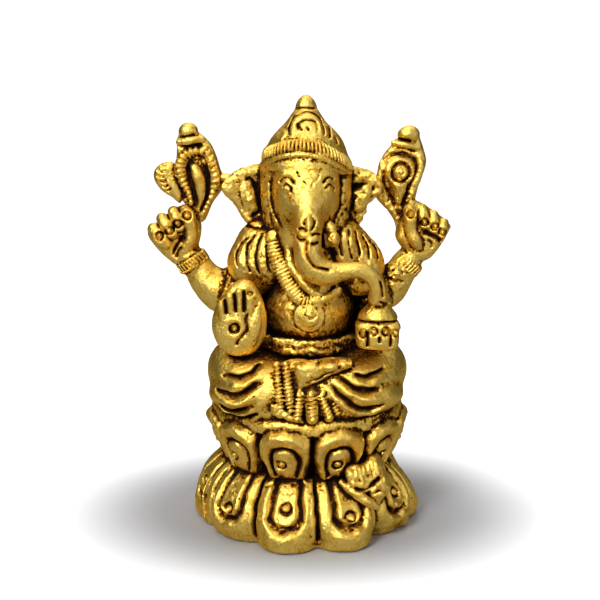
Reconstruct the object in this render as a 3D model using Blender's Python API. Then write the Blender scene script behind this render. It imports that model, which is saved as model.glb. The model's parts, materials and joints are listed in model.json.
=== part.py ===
"""A seated elephant-headed deity statuette in cast brass, on a two-tier lotus.

Every casting is a list of simple shapes (blobs, limbs, plates, turned profiles) in millimetres.
The shapes of one casting are joined, and then its neighbours, grown by the joint gap, are cut out
of it, so that each piece is its own solid and the soldered joints between them stay open.

The figure faces -Y and +Z is up. The origin is the centre of the flat underside.
Right and left are the figure's own: its right side is at -X.
"""

import math

import bmesh
import bpy
from mathutils import Euler, Vector

MM = 0.001
GAP = 0.3

# Driving dimensions, in millimetres.
TOTAL_HEIGHT = 76.0
SKIRT_RADIUS = 20.8
WAIST_RADIUS = 15.4
WAIST_Z = 10.9
SEAT_RADIUS = 18.0
SEAT_TOP_Z = 22.0
PETALS = 11
PETAL_SEAM = math.radians(-85)
PETAL_SEAM_DEPTH = 0.045

LEG_Z = SEAT_TOP_Z + 5.9
KNEE_X = 12.2
LEG_RADIUS = 5.3
BELLY_Z = 37.4
CHEST_Z = 46.2
SHOULDER_X = 9.3
REAR_ARM_Y = 2.0
HEAD_Z = 59.0
CROWN_Y = -1.0
CROWN_RADIUS = 7.5

# Facets: enough to hold the form, since the castings are rounded all over.
BLOB_SEGMENTS = 14
BLOB_RINGS = 8
TURNED_STEPS = 20
FACETS_PER_PETAL = 6
LIMB_BEVEL_RESOLUTION = 2
CURVE_STEPS = 2

BRASS = (0.62, 0.43, 0.13)
DARK_BRASS = (0.36, 0.21, 0.05)


def clear_scene():
    for obj in list(bpy.data.objects):
        bpy.data.objects.remove(obj, do_unlink=True)


def new_collection(name):
    collection = bpy.data.collections.new(name)
    bpy.context.scene.collection.children.link(collection)
    return collection


def metres(point):
    return Vector(point) * MM


def mesh_object(name, bm):
    bmesh.ops.recalc_face_normals(bm, faces=bm.faces)
    mesh = bpy.data.meshes.new(name)
    bm.to_mesh(mesh)
    bm.free()
    mesh.shade_smooth()
    mesh.set_sharp_from_angle(angle=math.radians(40))
    obj = bpy.data.objects.new(name, mesh)
    castings.objects.link(obj)
    return obj


def curve_to_mesh(curve_obj):
    """Replaces a curve object by a welded mesh object with the same name and place."""
    bpy.context.view_layer.update()
    graph = bpy.context.evaluated_depsgraph_get()
    name = curve_obj.name
    mesh = bpy.data.meshes.new_from_object(curve_obj.evaluated_get(graph))
    bm = bmesh.new()
    bm.from_mesh(mesh)
    bm.transform(curve_obj.matrix_world)
    bmesh.ops.remove_doubles(bm, verts=bm.verts, dist=0.002 * MM)
    bpy.data.meshes.remove(mesh)
    bpy.data.objects.remove(curve_obj, do_unlink=True)
    return mesh_object(name, bm)


# Shapes. Each function returns a maker, which builds the shape a given distance larger.


def blob(centre, radii, turn=(0, 0, 0)):
    """An ellipsoid, turned by angles in degrees."""

    def make(name, grow):
        bm = bmesh.new()
        bmesh.ops.create_uvsphere(bm, u_segments=BLOB_SEGMENTS, v_segments=BLOB_RINGS, radius=1)
        bmesh.ops.scale(bm, vec=metres([radius + grow for radius in radii]), verts=bm.verts)
        angles = Euler([math.radians(angle) for angle in turn])
        bmesh.ops.rotate(bm, matrix=angles.to_matrix(), verts=bm.verts)
        bmesh.ops.translate(bm, vec=metres(centre), verts=bm.verts)
        return mesh_object(name, bm)

    return make


def block(centre, size, bevel, turn=(0, 0, 0)):
    """A box with rounded edges."""

    def make(name, grow):
        bm = bmesh.new()
        bmesh.ops.create_cube(bm, size=1)
        bmesh.ops.scale(bm, vec=metres([side + 2 * grow for side in size]), verts=bm.verts)
        bmesh.ops.bevel(
            bm, geom=bm.edges, offset=bevel * MM, segments=2, affect="EDGES", profile=0.5
        )
        angles = Euler([math.radians(angle) for angle in turn])
        bmesh.ops.rotate(bm, matrix=angles.to_matrix(), verts=bm.verts)
        bmesh.ops.translate(bm, vec=metres(centre), verts=bm.verts)
        return mesh_object(name, bm)

    return make


def limb(stations, closed=False):
    """A round tube through stations of (x, y, z, radius). A closed one is a ring."""

    def make(name, grow):
        curve = bpy.data.curves.new(name, "CURVE")
        curve.dimensions = "3D"
        curve.bevel_depth = MM
        curve.bevel_resolution = LIMB_BEVEL_RESOLUTION
        curve.resolution_u = CURVE_STEPS
        curve.use_fill_caps = not closed
        spline = curve.splines.new("BEZIER")
        spline.use_cyclic_u = closed
        spline.bezier_points.add(len(stations) - 1)
        for point, (x, y, z, radius) in zip(spline.bezier_points, stations):
            point.co = metres((x, y, z))
            point.radius = radius + grow
            point.handle_left_type = "AUTO"
            point.handle_right_type = "AUTO"
        obj = bpy.data.objects.new(name, curve)
        castings.objects.link(obj)
        return curve_to_mesh(obj)

    return make


def ring(centre, across, wire, lift=None, axis=(0, 0, 1), stations=12):
    """An oval ring of round wire. across is its two radii, and lift(angle) raises its points."""
    facing = Vector(axis).to_track_quat("Z", "Y")
    points = []
    for step in range(stations):
        angle = 2 * math.pi * step / stations
        height = lift(angle) if lift else 0
        local = Vector((across[0] * math.cos(angle), across[1] * math.sin(angle), height))
        x, y, z = Vector(centre) + facing @ local
        points.append((x, y, z, wire))
    return limb(points, closed=True)


def plate(outline, y, thickness, edge=0.7, corners="AUTO"):
    """A flat casting that faces -Y, from an (x, z) outline, with rounded rims."""

    def make(name, grow):
        curve = bpy.data.curves.new(name, "CURVE")
        curve.dimensions = "2D"
        curve.fill_mode = "BOTH"
        curve.resolution_u = CURVE_STEPS
        curve.extrude = (thickness / 2 - edge + grow) * MM
        curve.bevel_depth = edge * MM
        curve.bevel_resolution = 1
        curve.offset = (grow - edge) * MM
        spline = curve.splines.new("BEZIER")
        spline.use_cyclic_u = True
        spline.bezier_points.add(len(outline) - 1)
        for point, (x, z) in zip(spline.bezier_points, outline):
            point.co = metres((x, z, 0))
            point.handle_left_type = corners
            point.handle_right_type = corners
        obj = bpy.data.objects.new(name, curve)
        obj.rotation_euler = (math.pi / 2, 0, 0)
        obj.location = metres((0, y, 0))
        castings.objects.link(obj)
        return curve_to_mesh(obj)

    return make


def turned(profile, x=0.0, y=0.0):
    """A profile of (radius, z), from its top down, swept round a vertical axis."""

    def make(name, grow):
        bm = bmesh.new()
        heights = [z for _, z in profile]
        corners = [(0, max(heights) + grow)]
        for radius, z in profile:
            rise = grow if z == max(heights) else -grow if z == min(heights) else 0
            corners.append((radius + grow, z + rise))
        corners.append((0, min(heights) - grow))
        verts = [bm.verts.new(metres((radius, 0, z))) for radius, z in corners]
        for upper, lower in zip(verts, verts[1:]):
            bm.edges.new((upper, lower))
        bmesh.ops.spin(
            bm,
            geom=bm.verts[:] + bm.edges[:],
            angle=2 * math.pi,
            steps=TURNED_STEPS,
            axis=(0, 0, 1),
            cent=(0, 0, 0),
            use_merge=True,
        )
        bmesh.ops.remove_doubles(bm, verts=bm.verts, dist=0.001 * MM)
        bmesh.ops.translate(bm, vec=metres((x, y, 0)), verts=bm.verts)
        return mesh_object(name, bm)

    return make


def lotus_tier(profile):
    """A solid tier lofted through lobed rings: one lobe for each petal, a seam between lobes.

    The profile gives (radius, z, lobe), where lobe scales the depth of the seams at that height.
    """

    def make(name, grow):
        count = PETALS * FACETS_PER_PETAL
        bm = bmesh.new()
        rings = []
        heights = [z for _, z, _ in profile]
        for radius, z, lobe in profile:
            rise = grow if z == max(heights) else -grow if z == min(heights) else 0
            verts = []
            for step in range(count):
                turn = 2 * math.pi * step / count
                across = abs(math.sin(PETALS * turn / 2))
                reach = (radius + grow) * (1 - lobe * PETAL_SEAM_DEPTH * (1 - across))
                angle = PETAL_SEAM + turn
                place = (reach * math.cos(angle), reach * math.sin(angle), z + rise)
                verts.append(bm.verts.new(metres(place)))
            rings.append(verts)
        for lower, upper in zip(rings, rings[1:]):
            for step in range(count):
                after = (step + 1) % count
                bm.faces.new((lower[step], lower[after], upper[after], upper[step]))
        bm.faces.new(rings[0])
        bm.faces.new(rings[-1])
        return mesh_object(name, bm)

    return make


# The castings.


def crown_arch(angle):
    """How far the ribbed band rises over the brow. The front of a ring is at -90 degrees."""
    return 2.3 * max(0.0, -math.sin(angle)) ** 2


def mirrored(stations):
    return [(-x, y, z, radius) for x, y, z, radius in stations]


def base_shapes():
    return {
        "lotus_skirt": [
            lotus_tier(
                [
                    (SKIRT_RADIUS - 0.6, 0.0, 1.0),
                    (SKIRT_RADIUS, 2.2, 1.0),
                    (SKIRT_RADIUS - 0.7, 5.0, 1.0),
                    (WAIST_RADIUS + 2.7, 8.2, 0.8),
                    (WAIST_RADIUS, WAIST_Z, 0.3),
                ]
            )
        ],
        "lotus_seat": [
            lotus_tier(
                [
                    (WAIST_RADIUS - 0.4, WAIST_Z + GAP, 0.3),
                    (SEAT_RADIUS - 1.0, 13.5, 0.8),
                    (SEAT_RADIUS, 16.8, 1.0),
                    (SEAT_RADIUS - 0.2, 19.6, 1.0),
                    (SEAT_RADIUS - 1.4, SEAT_TOP_Z, 0.7),
                ]
            )
        ],
        "mouse": [
            blob((10.2, -14.6, 11.6), (4.6, 2.4, 2.3), turn=(0, 24, 34)),
            blob((13.2, -13.0, 9.2), (2.0, 2.0, 2.0)),
            limb([(6.2, -16.2, 10.8, 0.7), (9.0, -15.6, 9.4, 0.9), (12.4, -14.0, 8.4, 1.0)]),
        ],
    }


def body_shapes():
    ankle_x = 4.4
    right_leg = [
        (-5.6, 6.0, LEG_Z + 0.3, LEG_RADIUS),
        (-KNEE_X, -3.4, LEG_Z, LEG_RADIUS),
        (-9.0, -10.6, LEG_Z - 0.9, LEG_RADIUS - 0.9),
        (-ankle_x, -13.0, LEG_Z - 1.6, LEG_RADIUS - 1.9),
    ]
    return {
        "torso": [
            blob((0, 1.5, 30.2), (10.0, 9.6, 6.8)),
            blob((0.3, -2.0, BELLY_Z), (9.4, 9.0, 7.2)),
            blob((0, 0.4, CHEST_Z), (10.8, 8.2, 8.6)),
        ],
        "right_leg": [limb(right_leg)],
        "left_leg": [limb(mirrored(right_leg))],
        "right_foot": [blob((1.7, -13.0, 30.4), (3.9, 2.6, 1.7), turn=(0, 8, 12))],
        "belt": [ring((0, 0.2, 32.9), (9.6, 10.7), 1.1)],
        "sash_tails": [
            blob((0, -15.0, 25.6), (3.4, 1.9, 2.5)),
            limb([(-3.2, -14.6, 29.4, 0.7), (-2.6, -16.2, 26.5, 1.0), (-2.2, -17.4, 23.9, 0.9)]),
            limb([(-0.2, -15.6, 27.2, 0.7), (0.1, -16.6, 25.2, 1.0), (0.3, -17.6, 22.9, 0.8)]),
            limb([(2.2, -15.4, 26.9, 0.7), (2.6, -16.4, 25.2, 1.0), (3.2, -17.4, 23.2, 0.9)]),
        ],
        "right_shawl": [blob((-SHOULDER_X, -0.4, 48.6), (4.7, 6.8, 5.9), turn=(0, 18, 0))],
        "left_shawl": [blob((SHOULDER_X, -0.4, 48.6), (4.7, 6.8, 5.9), turn=(0, -18, 0))],
        "garland": [
            limb(
                [
                    (-4.3, -6.0, 53.2, 0.7),
                    (-4.9, -7.0, 50.6, 0.85),
                    (-4.2, -7.7, 48.0, 0.85),
                    (-3.1, -8.2, 45.5, 0.85),
                    (-1.6, -8.7, 42.9, 0.9),
                    (0.5, -9.6, 41.9, 0.9),
                    (2.8, -8.7, 43.1, 0.9),
                    (4.6, -8.0, 45.6, 0.85),
                    (5.7, -7.0, 49.4, 0.7),
                ]
            )
        ],
        "pendant": [blob((0.5, -10.9, 38.7), (2.5, 0.9, 2.4))],
    }


def head_shapes():
    return {
        "head": [
            blob((0, -4.4, HEAD_Z), (5.9, 5.5, 6.5)),
            blob((0, -1.0, 55.0), (5.4, 5.8, 4.2)),
        ],
        "trunk": [
            limb(
                [
                    (0.4, -8.9, 57.2, 2.5),
                    (0.3, -10.8, 54.2, 2.45),
                    (0.15, -12.0, 51.0, 2.35),
                    (0.8, -12.7, 48.3, 2.35),
                    (2.8, -13.0, 46.9, 2.15),
                    (5.6, -13.0, 47.1, 1.75),
                    (8.8, -13.0, 47.3, 1.45),
                    (11.0, -12.8, 46.2, 1.45),
                    (11.9, -12.5, 44.2, 1.5),
                    (12.1, -12.0, 42.0, 1.8),
                ]
            )
        ],
        "left_tusk": [limb([(3.4, -7.4, 54.6, 0.9), (4.2, -8.8, 53.0, 0.9), (4.5, -9.4, 51.6, 1.0)])],
        "right_ear": [
            plate(
                [
                    (-5.0, 64.6),
                    (-8.1, 63.9),
                    (-11.2, 63.2),
                    (-14.0, 61.2),
                    (-14.2, 59.2),
                    (-12.8, 57.6),
                    (-11.4, 55.6),
                    (-10.3, 53.9),
                    (-5.0, 54.4),
                ],
                y=-0.4,
                thickness=2.6,
            )
        ],
        "left_ear": [
            plate(
                [
                    (5.0, 64.6),
                    (7.4, 63.7),
                    (11.2, 62.6),
                    (13.4, 60.6),
                    (13.1, 58.8),
                    (11.6, 57.5),
                    (10.2, 55.8),
                    (9.6, 54.2),
                    (5.0, 54.4),
                ],
                y=-0.4,
                thickness=2.6,
            )
        ],
        "crown": [
            turned(
                [
                    (1.6, 73.6),
                    (2.7, 72.4),
                    (3.6, 71.2),
                    (4.8, 69.9),
                    (5.9, 68.7),
                    (7.0, 66.4),
                    (CROWN_RADIUS, 64.2),
                    (CROWN_RADIUS - 0.5, 63.4),
                ],
                y=CROWN_Y,
            )
        ],
        "crown_band": [
            ring((0, CROWN_Y, 65.7), (CROWN_RADIUS - 0.3, CROWN_RADIUS), 0.95, lift=crown_arch)
        ],
        "crown_finial": [
            turned(
                [(0.4, TOTAL_HEIGHT), (1.3, 75.6), (1.9, 74.7), (1.8, 74.0)],
                y=CROWN_Y,
            )
        ],
    }


def arm_shapes():
    rear_y = REAR_ARM_Y
    return {
        "rear_right_arm": [
            limb(
                [
                    (-8.0, 2.5, 42.5, 3.3),
                    (-14.6, rear_y, 41.0, 3.2),
                    (-19.0, rear_y, 44.2, 2.9),
                    (-22.0, rear_y, 48.4, 2.6),
                ]
            ),
            blob((-23.8, 1.6, 51.3), (4.2, 3.1, 4.9), turn=(0, 40, 0)),
        ],
        "rear_left_arm": [
            limb(
                [
                    (8.0, 2.5, 42.5, 3.3),
                    (14.2, rear_y, 40.9, 3.2),
                    (17.9, rear_y, 44.0, 2.9),
                    (20.0, rear_y, 48.2, 2.7),
                ]
            ),
            blob((21.2, 1.6, 51.4), (4.7, 3.1, 4.4), turn=(0, 35, 0)),
        ],
        "right_bangle": [
            ring((-20.3, rear_y, 46.1), (2.5, 2.5), 0.85, axis=(-0.54, 0, 0.84), stations=8)
        ],
        "left_bangle": [
            ring((18.9, rear_y, 45.9), (2.5, 2.5), 0.85, axis=(0.5, 0, 0.86), stations=8)
        ],
        "right_emblem": [
            plate(
                [
                    (-21.0, 71.1),
                    (-22.7, 68.6),
                    (-23.0, 65.6),
                    (-26.0, 63.6),
                    (-27.1, 61.3),
                    (-25.6, 58.6),
                    (-22.8, 56.6),
                    (-20.0, 53.6),
                    (-17.7, 55.2),
                    (-15.0, 58.4),
                    (-15.0, 62.2),
                    (-16.4, 66.1),
                    (-19.2, 69.2),
                ],
                y=rear_y,
                thickness=3.4,
            )
        ],
        "left_emblem": [
            plate(
                [
                    (18.2, 70.3),
                    (16.5, 69.2),
                    (15.2, 67.0),
                    (13.4, 64.4),
                    (13.4, 60.4),
                    (13.4, 57.2),
                    (15.6, 53.8),
                    (18.4, 53.6),
                    (19.7, 58.4),
                    (21.2, 63.4),
                    (20.4, 66.6),
                    (19.6, 69.2),
                ],
                y=rear_y,
                thickness=3.4,
            )
        ],
        "blessing_arm": [
            limb([(-9.6, -1.6, 44.6, 3.1), (-13.4, -2.4, 38.4, 3.0), (-13.0, -7.4, 35.8, 2.6)])
        ],
        "blessing_palm": [blob((-11.5, -10.6, 38.6), (4.9, 2.0, 6.9))],
        "offering_arm": [
            limb([(9.6, -1.6, 44.6, 3.1), (13.8, -2.8, 39.0, 3.0), (13.4, -6.8, 36.4, 2.8)])
        ],
        "offering_hand": [block((12.1, -11.4, 35.7), (7.4, 6.2, 5.4), bevel=1.6)],
        "sweet_bowl": [
            turned([(2.2, 41.4), (3.1, 40.2), (3.5, 39.2), (3.3, 38.7)], x=12.1, y=-11.4)
        ],
    }


# Which neighbours each casting is cut back from. The outer castings keep their whole shape.
CUT_BACK_FROM = {
    "lotus_skirt": ["mouse"],
    "lotus_seat": ["mouse", "sash_tails"],
    "torso": [
        "right_leg",
        "left_leg",
        "belt",
        "right_shawl",
        "left_shawl",
        "garland",
        "pendant",
        "head",
        "rear_right_arm",
        "rear_left_arm",
        "blessing_arm",
        "offering_arm",
        "blessing_palm",
        "offering_hand",
        "lotus_seat",
        "left_tusk",
        "right_foot",
    ],
    "right_leg": ["lotus_seat", "right_foot", "sash_tails", "belt", "blessing_palm"],
    "left_leg": ["lotus_seat", "right_foot", "sash_tails", "belt", "offering_hand", "right_leg"],
    "right_foot": ["sash_tails", "belt"],
    "right_shawl": ["blessing_arm", "rear_right_arm", "garland", "head"],
    "left_shawl": ["offering_arm", "rear_left_arm", "garland", "head"],
    "garland": ["pendant", "trunk", "left_tusk"],
    "head": ["trunk", "left_tusk", "right_ear", "left_ear", "crown", "crown_band", "garland"],
    "right_ear": ["right_emblem", "crown", "crown_band", "right_shawl"],
    "left_ear": ["left_emblem", "crown", "crown_band", "left_shawl"],
    "crown": ["crown_band", "crown_finial"],
    "rear_right_arm": ["right_bangle", "right_emblem", "blessing_arm"],
    "rear_left_arm": ["left_bangle", "left_emblem", "offering_arm"],
    "blessing_arm": ["blessing_palm"],
    "offering_arm": ["offering_hand", "sweet_bowl"],
    "offering_hand": ["sweet_bowl"],
    "sweet_bowl": ["trunk"],
}


def boolean(obj, other, operation):
    modifier = obj.modifiers.new(f"{operation.lower()} {other.name}", "BOOLEAN")
    modifier.operation = operation
    modifier.solver = "EXACT"
    modifier.object = other


def as_helper(obj):
    """Moves a shape out of the castings, so that it only serves as a Boolean operand."""
    castings.objects.unlink(obj)
    helpers.objects.link(obj)
    obj.hide_render = True
    obj.display_type = "WIRE"


def build_casting(name, shapes):
    casting = shapes[name][0](name, 0)
    for index, make in enumerate(shapes[name][1:], start=2):
        extra = make(f"{name} shape {index}", 0)
        as_helper(extra)
        boolean(casting, extra, "UNION")
    for neighbour in CUT_BACK_FROM.get(name, []):
        for index, make in enumerate(shapes[neighbour], start=1):
            cutter = make(f"{name} clears {neighbour} {index}", GAP)
            as_helper(cutter)
            boolean(casting, cutter, "DIFFERENCE")
    return casting


def brass(name, colour, roughness):
    material = bpy.data.materials.new(name)
    material.use_nodes = True
    shader = material.node_tree.nodes["Principled BSDF"]
    shader.inputs["Base Color"].default_value = (*colour, 1)
    shader.inputs["Metallic"].default_value = 1
    shader.inputs["Roughness"].default_value = roughness
    return material


def build_all():
    shapes = {**base_shapes(), **body_shapes(), **head_shapes(), **arm_shapes()}
    recessed = {"torso", "belt", "right_shawl", "left_shawl", "sash_tails"}
    for name in shapes:
        casting = build_casting(name, shapes)
        colour = DARK_BRASS if name in recessed else BRASS
        roughness = 0.5 if name in recessed else 0.34
        casting.data.materials.append(brass(f"{name} brass", colour, roughness))


clear_scene()
castings = new_collection("Elephant-headed deity statuette")
helpers = new_collection("Boolean helpers")
helpers.hide_render = True
build_all()
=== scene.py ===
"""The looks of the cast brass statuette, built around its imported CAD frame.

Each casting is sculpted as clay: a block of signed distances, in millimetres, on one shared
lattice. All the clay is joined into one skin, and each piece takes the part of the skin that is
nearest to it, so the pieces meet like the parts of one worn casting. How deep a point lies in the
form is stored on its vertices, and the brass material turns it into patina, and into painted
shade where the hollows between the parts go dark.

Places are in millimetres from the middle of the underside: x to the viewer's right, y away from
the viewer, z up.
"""

import json
import math

import bpy
import numpy as np
from mathutils import Euler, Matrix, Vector

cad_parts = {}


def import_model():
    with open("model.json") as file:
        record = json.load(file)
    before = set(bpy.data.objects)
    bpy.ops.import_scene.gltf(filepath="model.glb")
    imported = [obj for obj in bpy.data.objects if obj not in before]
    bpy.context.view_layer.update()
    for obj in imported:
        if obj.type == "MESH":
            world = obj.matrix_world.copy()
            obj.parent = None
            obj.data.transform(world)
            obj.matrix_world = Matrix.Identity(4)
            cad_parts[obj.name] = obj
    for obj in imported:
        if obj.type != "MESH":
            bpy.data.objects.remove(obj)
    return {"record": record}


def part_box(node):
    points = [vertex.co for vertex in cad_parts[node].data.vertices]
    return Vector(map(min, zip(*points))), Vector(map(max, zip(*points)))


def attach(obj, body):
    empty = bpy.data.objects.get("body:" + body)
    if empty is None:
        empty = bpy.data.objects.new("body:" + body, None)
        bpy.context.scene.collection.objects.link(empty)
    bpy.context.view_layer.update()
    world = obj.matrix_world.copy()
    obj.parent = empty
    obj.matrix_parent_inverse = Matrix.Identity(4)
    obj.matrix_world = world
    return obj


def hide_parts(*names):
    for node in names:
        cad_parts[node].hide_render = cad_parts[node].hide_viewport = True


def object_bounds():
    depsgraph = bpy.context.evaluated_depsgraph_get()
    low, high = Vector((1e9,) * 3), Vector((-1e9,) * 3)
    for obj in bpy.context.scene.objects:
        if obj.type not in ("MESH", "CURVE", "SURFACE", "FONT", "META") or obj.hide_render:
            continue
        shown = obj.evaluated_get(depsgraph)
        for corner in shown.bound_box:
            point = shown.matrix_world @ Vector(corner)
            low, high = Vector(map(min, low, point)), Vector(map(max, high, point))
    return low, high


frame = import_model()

CAD_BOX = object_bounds()

MM = 0.001
# The spacing of the lattice.
STEP = 0.16
# How far from its surface a shape still says how far it is.
REACH = 1.5
# The distance that stands for no clay.
FAR = 6.0
# The room round a node's box for what its clay has in relief.
PAD = 2.2
SEED = 7

record = frame["record"]
slot_of = {row["node"]: row["material_slot"] for row in record["subparts"]}


# The lattice and the clay.


def box_mm(node):
    """The two corners of a CAD node's box."""
    low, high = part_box(node)
    return np.array(low) / MM, np.array(high) / MM


class Lattice:
    """The grid that every block of clay is a window of."""

    def __init__(self, low, high):
        self.low = np.floor((low - PAD) / STEP) * STEP
        self.count = np.ceil((high + PAD - self.low) / STEP).astype(int) + 1
        self.skin = np.full(self.count, FAR, np.float32)
        self.nearest = np.full(self.count, FAR, np.float32)
        self.second = np.full(self.count, FAR, np.float32)
        self.owner = np.full(self.count, -1, np.int8)

    def window(self, low, high):
        """First and last index, along each axis, of the lattice points between two corners."""
        first = np.clip(np.floor((np.asarray(low) - self.low) / STEP), 0, self.count - 2)
        last = np.clip(np.ceil((np.asarray(high) - self.low) / STEP) + 1, first + 2, self.count)
        return first.astype(int), last.astype(int)

    def along(self, axis, first, last):
        return (self.low[axis] + STEP * np.arange(first, last)).astype(np.float32)


origin = np.array(record["mounts"][0]["pos_m"]) / MM
lattice = Lattice(np.array(CAD_BOX[0]) / MM, np.array(CAD_BOX[1]) / MM)


def soft_min(a, b, blend):
    """The smaller of two distances, with a fillet about blend wide where they meet."""
    share = np.clip(0.5 + 0.5 * (b - a) / blend, 0, 1)
    return b + (a - b) * share - blend * share * (1 - share)


def smooth_step(value, low, high):
    """0 below low, 1 above high and a smooth rise between them."""
    share = np.clip((value - low) / (high - low), 0, 1)
    return share * share * (3 - 2 * share)


def curve_through(points, per_span=6, closed=False):
    """Points along a Catmull-Rom curve through rows of any length, such as (x, y, z, radius)."""
    rows = np.array(points, float)
    if closed:
        rows = np.vstack([rows[-1:], rows, rows[:2]])
    else:
        rows = np.vstack([2 * rows[0] - rows[1], rows, 2 * rows[-1] - rows[-2]])
    shares = np.linspace(0, 1, per_span, endpoint=False)[:, None]
    made = []
    for before, start, end, after in zip(rows, rows[1:], rows[2:], rows[3:]):
        bend = 2 * before - 5 * start + 4 * end - after
        turn = 3 * (start - end) + after - before
        made.append(
            start + 0.5 * shares * (end - before + shares * (bend + shares * turn))
        )
    made.append(rows[-2][None])
    return np.vstack(made)


def flat_distance(x, z, path):
    """Distance from each point of an (x, z) grid to a path, and the share along it, 0 to 1."""
    shape = np.broadcast(x, z).shape
    best = np.full(shape, 1e3, np.float32)
    share = np.zeros(shape, np.float32)
    spans = len(path) - 1
    for index, ((ax, az), (bx, bz)) in enumerate(zip(path, path[1:])):
        dx, dz = bx - ax, bz - az
        length = dx * dx + dz * dz + 1e-9
        t = np.clip(((x - ax) * dx + (z - az) * dz) / length, 0, 1)
        away = np.hypot(x - ax - t * dx, z - az - t * dz)
        nearer = away < best
        best = np.where(nearer, away, best)
        share = np.where(nearer, (index + t) / spans, share)
    return best, share


def flat_inside(x, z, outline):
    """Signed distance from each point of an (x, z) grid to a closed outline."""
    inside = np.zeros(np.broadcast(x, z).shape, bool)
    for (ax, az), (bx, bz) in zip(outline, np.roll(outline, -1, axis=0)):
        if az == bz:
            continue
        crosses = (az > z) != (bz > z)
        inside ^= crosses & (x < (bx - ax) * (z - az) / (bz - az) + ax)
    away, _ = flat_distance(x, z, np.vstack([outline, outline[:1]]))
    return np.where(inside, -away, away)


def cloud_at(x, z, lump, seed):
    """Soft noise from -1 to 1 over an (x, z) grid, in lumps of about this size in mm."""
    angles = np.random.default_rng(seed).uniform(0, math.tau, (6, 3))
    total = 0
    for heading, phase, warp in angles:
        along = (x * math.cos(heading) + z * math.sin(heading)) * math.tau / (2 * lump)
        total = total + np.sin(along * (1 + 0.25 * math.cos(warp)) + phase)
    return total / 2.5


def engraved(x, z, path, width, depth, taper):
    """How deep a hand-cut line goes at each point of an (x, z) grid. taper fades its two ends."""
    wobble = 0.3 * min(width, 0.35)
    bent_x = x + wobble * cloud_at(x, z, 1.1, 1)
    bent_z = z + wobble * cloud_at(x, z, 1.1, 2)
    away, share = flat_distance(bent_x, bent_z, path)
    uneven = 1 + (0.15 if width < 0.7 else 0.03) * cloud_at(x, z, 1.3, 3)
    profile = depth * uneven * np.exp(-((away / width) ** 2) * 1.2)
    if taper:
        profile = profile * smooth_step(np.minimum(share, 1 - share), 0, taper)
    return profile.astype(np.float32)


# Beyond every corner of the statuette.
EVERYWHERE = np.full(3, 1e3)


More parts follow.
